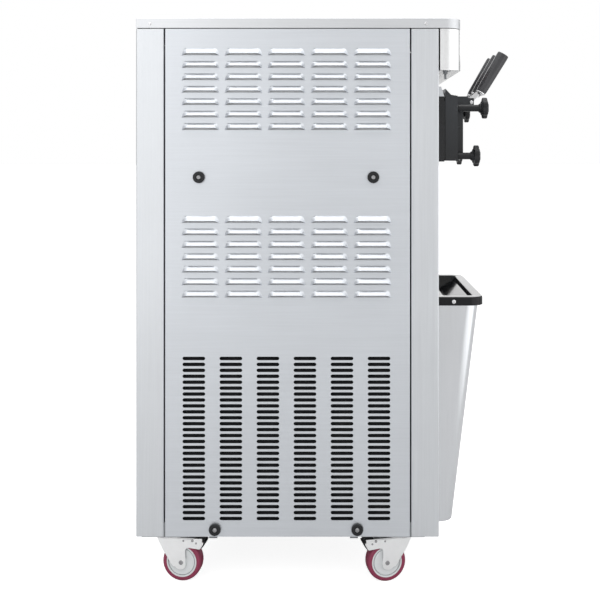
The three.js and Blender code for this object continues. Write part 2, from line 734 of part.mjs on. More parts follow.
function condenser() {
  let block = box(-246, -200, -190, 190, PAN_FLOOR + GAP, 520);
  for (let z = 150; z < 515; z += 36) {
    block = cut(block, box(-250, -208, -176, 176, z, z + 20));
  }
  return block;
}

function condenserFan() {
  let fan = rod("x", [0, FAN_Z], -186, -150, 30, 14);
  for (let i = 0; i < 5; i += 1) {
    const blade = new THREE.BoxGeometry(3, 62, 120);
    blade.translate(0, 0, 84);
    blade.rotateZ(0.42);
    blade.rotateX((i / 5) * 2 * Math.PI);
    blade.translate(-168, 0, FAN_Z);
    fan = join(fan, solid(blade));
  }
  return cut(fan, rod("x", [0, FAN_Z], -170, -140, 8.6, 12));
}

function fanMotor() {
  const body = rod("x", [0, FAN_Z], -142, -70, 42, 16);
  const shaft = rod("x", [0, FAN_Z], -165, -140, 8, 12);
  const foot = box(-120, -90, -30, 30, PAN_FLOOR + GAP, FAN_Z - 30);
  return join(body, shaft, foot);
}
add("compressor", compressor(), ENAMEL);
add("condenser", condenser(), COPPER);
add("condenser_fan", condenserFan(), BLACK, [-168, 0, FAN_Z]);
add("fan_motor", fanMotor(), ENAMEL);

// ---------- drip tray on its tapered apron ----------
function apronOutline(front, radius) {
  const back = -HALF_DEPTH - GAP;
  const inside = roundedFront(APRON_HALF - 2, back, front + 2, radius - 2, 4);
  const outside = roundedFront(APRON_HALF, back, front, radius, 4);
  return [outside[1], ...outside.slice(2), outside[0], inside[0], ...inside.slice(2).reverse(),
    inside[1]];
}

function rectangle(halfX, y0, y1) {
  return [[-halfX, y0], [halfX, y0], [halfX, y1], [-halfX, y1]];
}

function dripTray() {
  const back = -HALF_DEPTH - GAP;
  const rim = extruded(roundedFront(TRAY_HALF, back, TRAY_FRONT, 31, 5), "z",
    TRAY_BOTTOM + GAP, TRAY_TOP);
  const basin = lofted(rectangle(44, -412, -372), rectangle(184, -430, -358), 592, TRAY_TOP - 1);
  const drain = rod("z", [0, -392], 575, 600, 13, 14);
  const hollow = lofted(rectangle(40, -408, -376), rectangle(180, -429, -362), 597,
    TRAY_TOP + 0.5);
  return cut(join(rim, basin, drain), hollow, rod("z", [0, -392], 560, 610, 9, 12));
}
add("front_apron",
  lofted(apronOutline(APRON_LOW_FRONT, 34), apronOutline(APRON_TOP_FRONT, 30), APRON_BOTTOM,
    TRAY_BOTTOM),
  STEEL);
add("drip_tray", dripTray(), BLACK);

// ---------- casters: fork, hub, tyre and brake pedal ----------
// Local frame: kingpin on the Z axis, axle along X, the wheel trailing towards +Y.
const AXLE = [CASTER_TRAIL, WHEEL_RADIUS];
const PEDAL_PIN = [63, 96];

function casterFork() {
  const head = turned(
    [[0, 100], [31, 100], [31, 108], [26, CABINET_BOTTOM - 5 - GAP],
      [0, CABINET_BOTTOM - 5 - GAP]],
    "z", [0, 0, 0], 14,
  );
  const kingpin = rod("z", [0, 0], 105, CABINET_BOTTOM + 1, 6, 8);
  const bridge = box(-20.5, 20.5, -29, 54, 97, 101);
  let fork = join(head, kingpin, bridge);
  const cheek = [[-20, 101], [-20, 97], [-7, 72], [3, 57], [12, 42], [20, 33], [28, 29.5],
    [36, 28.8], [43, 32], [45.5, 41], [44.6, 64], [44, 72], [48.5, 79], [79, 76.5], [84, 84],
    [86, 101]];
  for (const side of [-1, 1]) {
    const x = side < 0 ? -20.5 : WHEEL_HALF_WIDTH + 1.5;
    fork = join(fork, extruded(cheek, "x", x, x + 3));
    fork = join(fork, side < 0 ? box(-18.5, -14.5, 50, 70, 91, 101) : box(14.5, 18.5, 50, 70, 91, 101));
  }
  const axle = rod("x", AXLE, -20, 20, 5, 10);
  return cut(join(fork, axle), rod("x", PEDAL_PIN, -22, 22, 3.2, 8));
}

function casterHub() {
  const w = WHEEL_HALF_WIDTH;
  return turned(
    [[5.6, -w], [11, -w], [13, -w + 3], [29, -w + 3], [31, -w], [HUB_RADIUS, -w],
      [HUB_RADIUS, w], [31, w], [29, w - 3], [13, w - 3], [11, w], [5.6, w], [5.6, -w]],
    "x", [0, ...AXLE], 12,
  );
}

function casterTyre() {
  const w = WHEEL_HALF_WIDTH;
  const inside = HUB_RADIUS + 1;
  return turned(
    [[inside, -w], [WHEEL_RADIUS - 4, -w], [WHEEL_RADIUS, -w + 5], [WHEEL_RADIUS, w - 5],
      [WHEEL_RADIUS - 4, w], [inside, w], [inside, -w]],
    "x", [0, ...AXLE], 20,
  );
}

function brakePedal() {
  const outline = [[57, 92], [70, 91], [80, 84], [79, 76], [81.5, 75], [89.2, 86.6],
    [92.2, 92.3], [86.5, 93.8], [90.5, 99.6], [57, 100]];
  return join(extruded(outline, "x", -13.5, 13.5), rod("x", PEDAL_PIN, -18, 18, 2.6, 8));
}

const CASTERS = [
  ["rear_left", -CASTER_X, CASTER_REAR_Y, 180 - CASTER_REAR_YAW],
  ["rear_right", CASTER_X, CASTER_REAR_Y, 180 + CASTER_REAR_YAW],
  ["front_left", -CASTER_X, CASTER_FRONT_Y, CASTER_FRONT_YAW],
  ["front_right", CASTER_X, CASTER_FRONT_Y, -CASTER_FRONT_YAW],
];
for (const [place, x, y, yaw] of CASTERS) {
  const caster = new THREE.Group();
  caster.position.set(x, y, 0);
  caster.rotation.z = THREE.MathUtils.degToRad(yaw);
  machine.add(caster);
  add(`caster_fork_${place}`, casterFork(), ZINC, [0, 0, 105], caster);
  add(`caster_hub_${place}`, casterHub(), HUB, [0, ...AXLE], caster);
  add(`caster_tyre_${place}`, casterTyre(), TYRE, [0, ...AXLE], caster);
  add(`brake_pedal_${place}`, brakePedal(), BLACK, [0, ...PEDAL_PIN], caster);
}

// ---------- origin: middle of the outline, on the floor ----------
machine.updateMatrixWorld(true);
const bounds = new THREE.Box3().setFromObject(machine, true);
machine.position.x -= (bounds.min.x + bounds.max.x) / 2;
machine.position.y -= (bounds.min.y + bounds.max.y) / 2;
machine.position.z -= bounds.min.z;

export default machine;
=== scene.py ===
"""Soft-serve ice cream maker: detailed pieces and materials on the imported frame.

Lengths below are millimetres in the cabinet's own frame: X from the middle, Y from mid-depth
with the front at low Y, Z from the floor. P() turns them into the frame's metres.
"""

import json
import math

import bmesh
import bpy
from mathutils import Matrix, Vector
from mathutils.geometry import tessellate_polygon


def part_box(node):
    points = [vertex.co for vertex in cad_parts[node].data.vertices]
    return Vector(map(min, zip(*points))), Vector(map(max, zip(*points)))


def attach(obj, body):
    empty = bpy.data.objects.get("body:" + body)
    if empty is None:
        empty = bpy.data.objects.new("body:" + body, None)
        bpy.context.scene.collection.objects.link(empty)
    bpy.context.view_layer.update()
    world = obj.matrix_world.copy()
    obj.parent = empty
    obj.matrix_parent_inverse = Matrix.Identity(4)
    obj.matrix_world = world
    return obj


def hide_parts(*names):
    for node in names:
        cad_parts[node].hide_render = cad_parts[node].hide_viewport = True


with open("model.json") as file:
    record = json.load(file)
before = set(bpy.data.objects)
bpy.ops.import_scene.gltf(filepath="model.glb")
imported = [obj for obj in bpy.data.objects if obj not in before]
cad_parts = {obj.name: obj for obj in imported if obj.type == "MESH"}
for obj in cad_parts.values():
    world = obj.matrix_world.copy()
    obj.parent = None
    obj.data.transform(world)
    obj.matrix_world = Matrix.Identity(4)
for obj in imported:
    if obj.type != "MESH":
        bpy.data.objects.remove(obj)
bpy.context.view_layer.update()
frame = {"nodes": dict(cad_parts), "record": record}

# ---------- main sizes ----------
FRONT_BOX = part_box("front_panel")
REAR_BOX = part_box("rear_panel")
MID_Y = (FRONT_BOX[0][1] + REAR_BOX[1][1]) / 2
HALF_W = 270.0
HALF_D = 340.0
CAB_LOW = 116.3
PANEL_TOP = 1256.0
PANEL_HALF = 275.0
COVER_LOW = 1258.0
COVER_TOP = 1280.0
CONSOLE_FRONT = -392.3
CONSOLE_LOW = 1163.0
SHEET = 1.5


def P(x, y, z):
    return Vector((x / 1000, y / 1000 + MID_Y, z / 1000))


# ---------- mesh helpers ----------
class Shape:
    """Vertices in mm and faces, collected before they become one object."""

    def __init__(self):
        self.verts = []
        self.faces = []

    def add(self, verts, faces):
        base = len(self.verts)
        self.verts += [tuple(v) for v in verts]
        self.faces += [tuple(base + i for i in face) for face in faces]
        return self


def smooth_by_angle(mesh, degrees=32):
    for polygon in mesh.polygons:
        polygon.use_smooth = True
    mesh.set_sharp_from_angle(angle=math.radians(degrees))


def make(name, shape, material, body, replaces=(), bevel=0.0, thick=0.0, outward=None,
         weld=True, angle=32, matrix=None):
    """Turns a Shape into a finished piece riding on a body."""
    mesh = bpy.data.meshes.new(name)
    points = [P(*v) if matrix is None else matrix @ (Vector(v) / 1000) for v in shape.verts]
    mesh.from_pydata([tuple(p) for p in points], [], shape.faces)
    edit = bmesh.new()
    edit.from_mesh(mesh)
    if weld:
        bmesh.ops.remove_doubles(edit, verts=edit.verts, dist=2e-5)
    bmesh.ops.dissolve_degenerate(edit, dist=1e-6, edges=edit.edges)
    bmesh.ops.recalc_face_normals(edit, faces=edit.faces)
    edit.to_mesh(mesh)
    edit.free()
    if outward and sum(p.area * p.normal.dot(Vector(outward)) for p in mesh.polygons) < 0:
        mesh.flip_normals()
    return finish_piece(name, mesh, material, body, replaces, bevel, thick, angle)


def finish_piece(name, mesh, material, body, replaces, bevel, thick, angle):
    """Thickens and rounds a mesh for good, and hands it to the frame."""
    piece = bpy.data.objects.new(name, mesh)
    bpy.context.scene.collection.objects.link(piece)
    if thick:
        shell = piece.modifiers.new("thickness", "SOLIDIFY")
        shell.thickness = thick / 1000
        shell.offset = -1
    if bevel:
        edge = piece.modifiers.new("edges", "BEVEL")
        edge.width = bevel / 1000
        edge.segments = 3 if bevel > 0.9 else 2
        edge.limit_method = "ANGLE"
        edge.angle_limit = math.radians(35)
    apply_modifiers(piece)
    smooth_by_angle(piece.data, angle)
    even = piece.modifiers.new("even_faces", "WEIGHTED_NORMAL")
    even.keep_sharp = True
    piece.data.materials.clear()
    piece.data.materials.append(material)
    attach(piece, body)
    if replaces:
        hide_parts(*replaces)
    return piece


def apply_modifiers(piece):
    if piece.modifiers:
        bpy.context.view_layer.update()
        graph = bpy.context.evaluated_depsgraph_get()
        result = bpy.data.meshes.new_from_object(piece.evaluated_get(graph))
        piece.modifiers.clear()
        piece.data = result


def refine(node, material, body, bevel=0.5):
    """A cleaned copy of a CAD solid with softened edges, standing for that solid."""
    mesh = frame["nodes"][node].data.copy()
    mesh.materials.clear()
    edit = bmesh.new()
    edit.from_mesh(mesh)
    bmesh.ops.remove_doubles(edit, verts=edit.verts, dist=1e-5)
    bmesh.ops.dissolve_limit(edit, angle_limit=math.radians(0.5), verts=edit.verts,
                             edges=edit.edges)
    edit.to_mesh(mesh)
    edit.free()
    if mesh.has_custom_normals:
        mesh.attributes.remove(mesh.attributes["custom_normal"])
    finish_piece(f"{node}_fine", mesh, material, body, (node,), bevel, 0, 40)


def arc(u, v, radius, start, end, steps):
    points = []
    for i in range(steps + 1):
        a = math.radians(start + (end - start) * i / steps)
        points.append((u + radius * math.cos(a), v + radius * math.sin(a)))
    return points


def rounded(u0, u1, v0, v1, radius, steps=6):
    return (arc(u1 - radius, v1 - radius, radius, 0, 90, steps)
            + arc(u0 + radius, v1 - radius, radius, 90, 180, steps)
            + arc(u0 + radius, v0 + radius, radius, 180, 270, steps)
            + arc(u1 - radius, v0 + radius, radius, 270, 360, steps))


def front_outline(half, back, front, radius, steps=10, back_radius=0.6):
    """Square at the back, rounded at the front, as (x, y) going round once."""
    return (arc(half - back_radius, back - back_radius, back_radius, 0, 90, steps)
            + arc(-half + back_radius, back - back_radius, back_radius, 90, 180, steps)
            + arc(-half + radius, front + radius, radius, 180, 270, steps)
            + arc(half - radius, front + radius, radius, 270, 360, steps))


def on_axis(axis, u, v, w):
    """An outline point (u, v) at depth w, for a shape extruded along axis."""
    if axis == "x":
        return (w, u, v)
    if axis == "y":
        return (u, w, v)
    return (u, v, w)


def prism(outline, axis, low, high):
    n = len(outline)
    verts = [on_axis(axis, u, v, low) for u, v in outline]
    verts += [on_axis(axis, u, v, high) for u, v in outline]
    faces = [tuple(range(n)), tuple(range(2 * n - 1, n - 1, -1))]
    faces += [(i, (i + 1) % n, n + (i + 1) % n, n + i) for i in range(n)]
    return verts, faces


def box(x0, x1, y0, y1, z0, z1):
    return prism([(x0, y0), (x1, y0), (x1, y1), (x0, y1)], "z", z0, z1)


def lathe(profile, axis, at, segments=48, ripple=None):
    """Turns (radius, height) points about an axis; radius 0 at an end closes it."""
    verts = []
    faces = []
    rings = []
    for radius, height in profile:
        ring = []
        if radius < 1e-6:
            ring.append(len(verts))
            verts.append((0.0, 0.0, height))
        else:
            for i in range(segments):
                a = 2 * math.pi * i / segments
                reach = radius * (ripple(a) if ripple else 1.0)
                ring.append(len(verts))
                verts.append((reach * math.cos(a), reach * math.sin(a), height))
        rings.append(ring)
    for low, high in zip(rings, rings[1:]):
        for i in range(segments):
            j = (i + 1) % segments
            if len(low) == 1 and len(high) == 1:
                continue
            if len(low) == 1:
                faces.append((low[0], high[i], high[j]))
            elif len(high) == 1:
                faces.append((low[i], low[j], high[0]))
            else:
                faces.append((low[i], low[j], high[j], high[i]))
    placed = []
    for x, y, z in verts:
        if axis == "x":
            placed.append((at[0] + z, at[1] + x, at[2] + y))
        elif axis == "y":
            placed.append((at[0] + x, at[1] + z, at[2] + y))
        else:
            placed.append((at[0] + x, at[1] + y, at[2] + z))
    return placed, faces


def loft(rings, closed=True, cap_low=False, cap_high=False):
    """Joins rings of equal length, each a list of (x, y, z)."""
    n = len(rings[0])
    verts = [point for ring in rings for point in ring]
    faces = []
    for k in range(len(rings) - 1):
        for i in range(n if closed else n - 1):
            j = (i + 1) % n
            faces.append((k * n + i, k * n + j, (k + 1) * n + j, (k + 1) * n + i))
    if cap_low:
        faces.append(tuple(range(n - 1, -1, -1)))
    if cap_high:
        faces.append(tuple(range((len(rings) - 1) * n, len(rings) * n)))
    return verts, faces


def pierced(outline, holes, place):
    """A flat sheet with holes; place(u, v) gives each point in 3-D."""
    loops = [outline] + holes
    flat = [[Vector((u, v, 0)) for u, v in loop] for loop in loops]
    verts = [place(u, v) for loop in loops for u, v in loop]
    return verts, [tuple(face) for face in tessellate_polygon(flat)]


def tube(points, radius, sides=12):
    """A round bar along a list of points."""
    path = [Vector(p) for p in points]
    rings = []
    side = None
    for i, point in enumerate(path):
        ahead = path[min(i + 1, len(path) - 1)] - path[max(i - 1, 0)]
        ahead.normalize()
        if side is None:
            side = ahead.orthogonal().normalized()
        side = (side - ahead * side.dot(ahead)).normalized()
        other = ahead.cross(side)
        rings.append([tuple(point + radius * (math.cos(a) * side + math.sin(a) * other))
                      for a in (2 * math.pi * k / sides for k in range(sides))])
    return loft(rings, cap_low=True, cap_high=True)


# ---------- materials ----------
def nodes_of(name):
    """A new material with its node tree and its shader."""
    material = bpy.data.materials.new(name)
    material.use_nodes = True
    tree = material.node_tree
    shader = tree.nodes["Principled BSDF"]
    return material, tree, shader


def noise(tree, scale, stretch=(1, 1, 1), detail=4.0):
    """Noise in object space, stretched along the axes."""
    coords = tree.nodes.new("ShaderNodeTexCoord")
    mapping = tree.nodes.new("ShaderNodeMapping")
    mapping.inputs["Scale"].default_value = stretch
    texture = tree.nodes.new("ShaderNodeTexNoise")
    texture.inputs["Scale"].default_value = scale
    texture.inputs["Detail"].default_value = detail
    texture.inputs["Roughness"].default_value = 0.55
    tree.links.new(coords.outputs["Object"], mapping.inputs["Vector"])
    tree.links.new(mapping.outputs["Vector"], texture.inputs["Vector"])
    return texture.outputs["Fac"]


def ramp(tree, source, low, high, start=0.3, end=0.7):
    """Maps a 0..1 source onto two colours or two grey values."""
    node = tree.nodes.new("ShaderNodeValToRGB")
    first, last = node.color_ramp.elements
    first.position, last.position = start, end
    first.color = (*low, 1) if isinstance(low, tuple) else (low, low, low, 1)
    last.color = (*high, 1) if isinstance(high, tuple) else (high, high, high, 1)
    tree.links.new(source, node.inputs["Fac"])
    return node.outputs["Color"]


def axes_of(tree, output="Object"):
    """The X, Y and Z of the texture coordinates."""
    coords = tree.nodes.new("ShaderNodeTexCoord")
    split = tree.nodes.new("ShaderNodeSeparateXYZ")
    tree.links.new(coords.outputs[output], split.inputs["Vector"])
    return split.outputs


def map_range(tree, source, start, end, low, high, smooth=False):
    """Maps start..end of a source onto low..high."""
    node = tree.nodes.new("ShaderNodeMapRange")
    if smooth:
        node.interpolation_type = "SMOOTHSTEP"
    for name, value in (("From Min", start), ("From Max", end), ("To Min", low), ("To Max", high)):
        node.inputs[name].default_value = value
    tree.links.new(source, node.inputs["Value"])
    return node.outputs["Result"]


def combine(tree, operation, first, second):
    """Joins two values, each an output or a plain number."""
    node = tree.nodes.new("ShaderNodeMath")
    node.operation = operation
    for value, socket in zip((first, second), node.inputs):
        if isinstance(value, float):
            socket.default_value = value
        else:
            tree.links.new(value, socket)
    return node.outputs["Value"]


def bump(tree, shader, source, strength, distance):
    node = tree.nodes.new("ShaderNodeBump")
    node.inputs["Strength"].default_value = strength
    node.inputs["Distance"].default_value = distance
    tree.links.new(source, node.inputs["Height"])
    tree.links.new(node.outputs["Normal"], shader.inputs["Normal"])


def brushed(name, colour, roughness, grain, metallic=0.85, spread=0.05, grain_depth=0.02):
    """Brushed or rolled metal whose fine lines run along the long axis of `grain`."""
    material, tree, shader = nodes_of(name)
    lines = noise(tree, 260.0, grain, detail=3.0)
    clouds = noise(tree, 3.0, detail=3.0)
    low = tuple(c * (1 - spread) for c in colour)
    mix = tree.nodes.new("ShaderNodeMix")
    mix.data_type = "RGBA"
    mix.blend_type = "MULTIPLY"
    mix.inputs["Factor"].default_value = 1.0
    tree.links.new(ramp(tree, lines, low, colour), mix.inputs["A"])
    tree.links.new(ramp(tree, clouds, 0.95, 1.0), mix.inputs["B"])
    tree.links.new(mix.outputs["Result"], shader.inputs["Base Color"])
    tree.links.new(ramp(tree, lines, roughness * 0.88, roughness * 1.12),
                   shader.inputs["Roughness"])
    shader.inputs["Metallic"].default_value = metallic
    bump(tree, shader, lines, grain_depth, 0.0002)
    return material


def moulded(name, colour, roughness, grain=0.05, coat=0.0, speckle=1.15, gloss=0.5):
    """Moulded plastic or rubber with a faint skin texture and slight colour variation."""
    material, tree, shader = nodes_of(name)
    skin = noise(tree, 900.0, detail=2.0)
    clouds = noise(tree, 14.0, detail=4.0)
    high = tuple(min(1.0, c * speckle) for c in colour)
    tree.links.new(ramp(tree, clouds, colour, high), shader.inputs["Base Color"])
    tree.links.new(ramp(tree, clouds, roughness * 0.85, roughness * 1.1),
                   shader.inputs["Roughness"])
    shader.inputs["Specular IOR Level"].default_value = gloss
    shader.inputs["Coat Weight"].default_value = coat
    shader.inputs["Coat Roughness"].default_value = 0.12
    bump(tree, shader, skin, grain, 0.0003)
    return material


def paint_light_upward(material, low, high, gain):
    """Painted light on moulded surfaces: lifts the colour between two heights, in m, a painted
    highlight higher up and painted shade low down.
    """
    tree = material.node_tree
    shader = tree.nodes["Principled BSDF"]
    source = shader.inputs["Base Color"].links[0].from_socket
    painted_lift = map_range(tree, axes_of(tree)["Z"], low, high, 1.0, gain)
    scale = tree.nodes.new("ShaderNodeVectorMath")
    scale.operation = "SCALE"
    tree.links.new(source, scale.inputs["Vector"])
    tree.links.new(painted_lift, scale.inputs["Scale"])
    tree.links.new(scale.outputs["Vector"], shader.inputs["Base Color"])


STEEL_SIDE = brushed("steel_side", (0.64, 0.665, 0.70), 0.38, (1.0, 0.02, 1.0))
STEEL_FRONT = brushed("steel_front", (0.66, 0.68, 0.705), 0.36, (1.0, 1.0, 0.02))
STEEL_COVER = brushed("steel_cover", (0.66, 0.672, 0.69), 0.34, (1.0, 0.02, 1.0))
STEEL_APRON = brushed("steel_apron", (0.72, 0.735, 0.76), 0.17, (1.0, 1.0, 0.02), metallic=0.95)
# painted highlight: a lighter copy of the cover's steel, its colour raised to stand in for the
# bright light on the console's front
STEEL_CONSOLE_LIT = brushed("steel_console_lit", (0.92, 0.925, 0.93), 0.20, (0.02, 1.0, 1.0),
                        grain_depth=0.008)
STEEL_INNER = brushed("steel_inner", (0.55, 0.56, 0.57), 0.45, (0.05, 1.0, 1.0))
ZINC = brushed("zinc_plate", (0.98, 0.985, 0.99), 0.36, (1.0, 0.3, 0.3), spread=0.03)
CHROME = brushed("chrome", (0.74, 0.74, 0.75), 0.12, (1.0, 0.3, 0.3), metallic=1.0, spread=0.03,
                 grain_depth=0.005)
SCREW_STEEL = brushed("screw_steel", (0.42, 0.42, 0.43), 0.3, (1.0, 0.3, 0.3), spread=0.2)
FRAME_STEEL = brushed("frame_steel", (0.22, 0.23, 0.24), 0.5, (1.0, 0.3, 1.0), metallic=0.7)
BLACK = moulded("black_plastic", (0.009, 0.0095, 0.0105), 0.34, speckle=1.6, gloss=0.3)
BLACK_GLOSS = moulded("black_gloss", (0.009, 0.0098, 0.011), 0.24, grain=0.02, gloss=0.38)
BLOCK_BLACK = moulded("block_black", (0.011, 0.012, 0.0135), 0.26, grain=0.02, gloss=0.4)
# painted light: the valve block's black is lifted up to 2.6 times from 0.97 m to 1.10 m, a painted
# highlight on its upper part
paint_light_upward(BLOCK_BLACK, 0.97, 1.10, 2.6)
TRAY_BLACK = moulded("tray_black", (0.006, 0.0064, 0.0072), 0.13, grain=0.02, gloss=0.25)
GRIP_BLACK = moulded("grip_black", (0.026, 0.026, 0.029), 0.32, grain=0.03, speckle=1.5, gloss=0.6)
ENAMEL = moulded("black_enamel", (0.02, 0.02, 0.022), 0.45, grain=0.15)
RUBBER = moulded("belt_rubber", (0.015, 0.015, 0.015), 0.8, grain=0.2)
WHITE = moulded("white_plastic", (0.74, 0.73, 0.70), 0.4, grain=0.03, speckle=1.04)
TYRE = moulded("tyre_polyurethane", (0.235, 0.034, 0.074), 0.42, grain=0.06, speckle=1.18,
               gloss=0.35)
HUB = moulded("hub_nylon", (0.66, 0.68, 0.69), 0.45, grain=0.08, speckle=1.06)
FINS = brushed("condenser_fins", (0.16, 0.14, 0.12), 0.6, (1.0, 1.0, 0.02), metallic=0.6)
FILTER = moulded("filter_mat", (0.0025, 0.003, 0.004), 0.95, grain=0.3, speckle=2.0)
FOAM = moulded("insulation_skin", (0.80, 0.81, 0.82), 0.7, grain=0.2, speckle=1.1)
GLASS_BLACK = moulded("display_black", (0.006, 0.006, 0.008), 0.08, grain=0.0, coat=0.8)
DISPLAY = moulded("display_digits", (0.65, 0.10, 0.06), 0.4, grain=0.0)

# ---------- side panels ----------
HOOD_W = 84.8
HOOD_H = 16.0
HOOD_LIP = 10.0
HOOD_OUT = 8.6
HOOD_TOP_W = 69.0
HOOD_FIRST_Y = 237.4
HOOD_PITCH_Y = 96.5
HOOD_PITCH_Z = 27.9
HOOD_TOPS = (1211.7, 835.8)
HOOD_ROWS = 7
HOOD_COLUMNS = 5
SLOT_W = 51.0
SLOT_H = 8.0
SLOT_FIRST_Y = 235.5
SLOT_PITCH_Y = 83.1
SLOT_PITCH_Z = 13.3
SLOT_FIRST_Z = 516.2
SLOT_ROWS = 28
SLOT_COLUMNS = 6


def hood_places():
    """The middle and the top edge of each louvre, as (y, z)."""
    for top in HOOD_TOPS:
        for row in range(HOOD_ROWS):
            for column in range(HOOD_COLUMNS):
                yield (HOOD_FIRST_Y - column * HOOD_PITCH_Y - HOOD_W / 2,
                       top - row * HOOD_PITCH_Z)


def slot_outline(y1, z):
    """A round-ended slot whose rear end is at y1."""
    r = SLOT_H / 2
    y0 = y1 - SLOT_W
    return arc(y1 - r, z, r, -90, 90, 6) + arc(y0 + r, z, r, 90, 270, 6)


def hood(side, y, top):
    """A pressed hood: a dome-ended sheet rising from its top edge to an open lower lip."""
    columns = 18
    rows = 6
    x_face = side * HALF_W
    rings = []
    for j in range(rows + 1):
        v = j / rows
        ring = []
        for i in range(columns + 1):
            u = -1 + 2 * i / columns
            end = max(0.0, (abs(u) - 0.72) / 0.28) ** 1.6
            half = (HOOD_TOP_W + (HOOD_W - HOOD_TOP_W) * v ** 0.5) / 2
            drop = HOOD_LIP + (HOOD_H - HOOD_LIP) * end
            out = HOOD_OUT * (1 - end) * (v ** 0.75)
            ring.append((x_face + side * out, y + u * half, top - drop * v))
        rings.append(ring)
    return loft(rings, closed=False)


def side_panel(side, name, node):
    """The slotted sheet with its folded edges, and the louvres pressed out of it."""
    shape = Shape()
    holes = []
    for column in range(SLOT_COLUMNS):
        for row in range(SLOT_ROWS):
            holes.append(slot_outline(SLOT_FIRST_Y - column * SLOT_PITCH_Y,
                                      SLOT_FIRST_Z - row * SLOT_PITCH_Z))
    for y, top in hood_places():
        w = HOOD_TOP_W / 2
        holes.append([(y - w, top - 4), (y + w, top - 4), (y + w + 4.5, top - 15),
                      (y - w - 4.5, top - 15)])
    bend = 2.0
    edge = PANEL_HALF - bend
    guard = edge - 3
    outline = [(-guard, CAB_LOW), (guard, CAB_LOW), (guard, PANEL_TOP), (-guard, PANEL_TOP)]
    shape.add(*pierced(outline, holes, lambda u, v: (side * HALF_W, u, v)))
    for end in (-1, 1):
        rows = []
        for z in (CAB_LOW, PANEL_TOP):
            rows.append([(side * HALF_W, end * guard, z)]
                        + [(side * (HALF_W - bend + du), end * (edge + dv), z)
                           for du, dv in arc(0, 0, bend, 0, 90, 4)]
                        + [(side * (HALF_W - 12), end * PANEL_HALF, z)])
        shape.add(*loft(rows, closed=False))
    outward = (side, 0, 0)
    make(name, shape, STEEL_SIDE, "cabinet", (node,), thick=SHEET, outward=outward)
    hoods = Shape()
    for y, top in hood_places():
        hoods.add(*hood(side, y, top))
    make(f"louvres_{'left' if side < 0 else 'right'}", hoods, STEEL_SIDE, "cabinet",
         thick=0.9, outward=outward, angle=50)


side_panel(-1, "side_sheet_left", "side_panel_left")
side_panel(1, "side_sheet_right", "side_panel_right")


BACKING_HALF = 266
MAT_BACK = 251.0
MAT_FACE = 255.0
MAT_PLEAT = 1.6
MAT_LOW = 124
MAT_TOP = 628
MAT_FOLDS = 40


def vent_backing(side):
    """The black filter mat behind the vent slots and the insulated wall behind the louvres."""
    name = "left" if side < 0 else "right"
    front = [(side * (MAT_FACE + (MAT_PLEAT if i % 2 else 0.0)),
              MAT_LOW + (MAT_TOP - MAT_LOW) * i / MAT_FOLDS) for i in range(MAT_FOLDS + 1)]
    outline = front + [(side * MAT_BACK, MAT_TOP), (side * MAT_BACK, MAT_LOW)]
    mat = Shape().add(*prism(outline, "y", -BACKING_HALF, BACKING_HALF))
    make(f"air_filter_{name}", mat, FILTER, "cabinet", angle=60)
    x0, x1 = sorted((side * 259.0, side * 264.0))
    wall = Shape().add(*prism(rounded(-BACKING_HALF, BACKING_HALF, 652, 1250, 8), "x", x0, x1))
    make(f"insulated_wall_{name}", wall, FOAM, "cabinet", bevel=0.8)


vent_backing(-1)
vent_backing(1)

# ---------- front and rear panels ----------
def end_panel(end, name, node, material):
    """A sheet folded round the cabinet's corners, with its free edges folded in."""
    inset = 278.0
    radius = 3.0
    corner = arc(HALF_W - radius, HALF_D - radius, radius, 0, 90, 5)
    path = [(HALF_W - 12, inset), (HALF_W - 1.5, inset)]
    path += [(HALF_W, inset + 1.5)] + corner
    path += [(-x, y) for x, y in reversed(corner)]
    path += [(-HALF_W, inset + 1.5), (-HALF_W + 1.5, inset), (-HALF_W + 12, inset)]
    rings = [[(x, end * y, z) for x, y in path] for z in (CAB_LOW, PANEL_TOP)]
    make(name, Shape().add(*loft(rings, closed=False)), material, "cabinet",
         (node,), thick=SHEET, outward=(0, end, 0))


end_panel(-1, "front_sheet", "front_panel", STEEL_FRONT)
end_panel(1, "rear_sheet", "rear_panel", STEEL_FRONT)

# ---------- top cover and console ----------
HOPPER_IN = 38.0
HOPPER_OUT = 218.0
HOPPER_FRONT = -135.0
HOPPER_REAR = 205.0


def hopper_outline(side, grow, radius=22.0):
    x0, x1 = sorted((side * HOPPER_IN, side * HOPPER_OUT))
    return rounded(x0 - grow, x1 + grow, HOPPER_FRONT - grow, HOPPER_REAR + grow, radius)


def cover_ring(inset, z):
    return [(x, y, z) for x, y in front_outline(HALF_W - inset, HALF_D - inset,
                                                CONSOLE_FRONT + inset, 40 - inset)]


def top_cover():
    soft = 1.2
    rings = [cover_ring(0, COVER_LOW)]
    for i in range(5):
        a = math.radians(90 * i / 4)
        rings.append(cover_ring(soft * (1 - math.cos(a)), COVER_TOP - soft + soft * math.sin(a)))
    rings.append(cover_ring(soft + 4, COVER_TOP))
    shape = Shape().add(*loft(rings))
    flat = [(x, y) for x, y, z in rings[-1]]
    holes = [hopper_outline(side, 1.0) for side in (-1, 1)]
    shape.add(*pierced(flat, holes, lambda u, v: (u, v, COVER_TOP)))
    make("cover_sheet", shape, STEEL_COVER, "cabinet", ("top_cover",), thick=1.4,
         outward=(0, 0, 1))


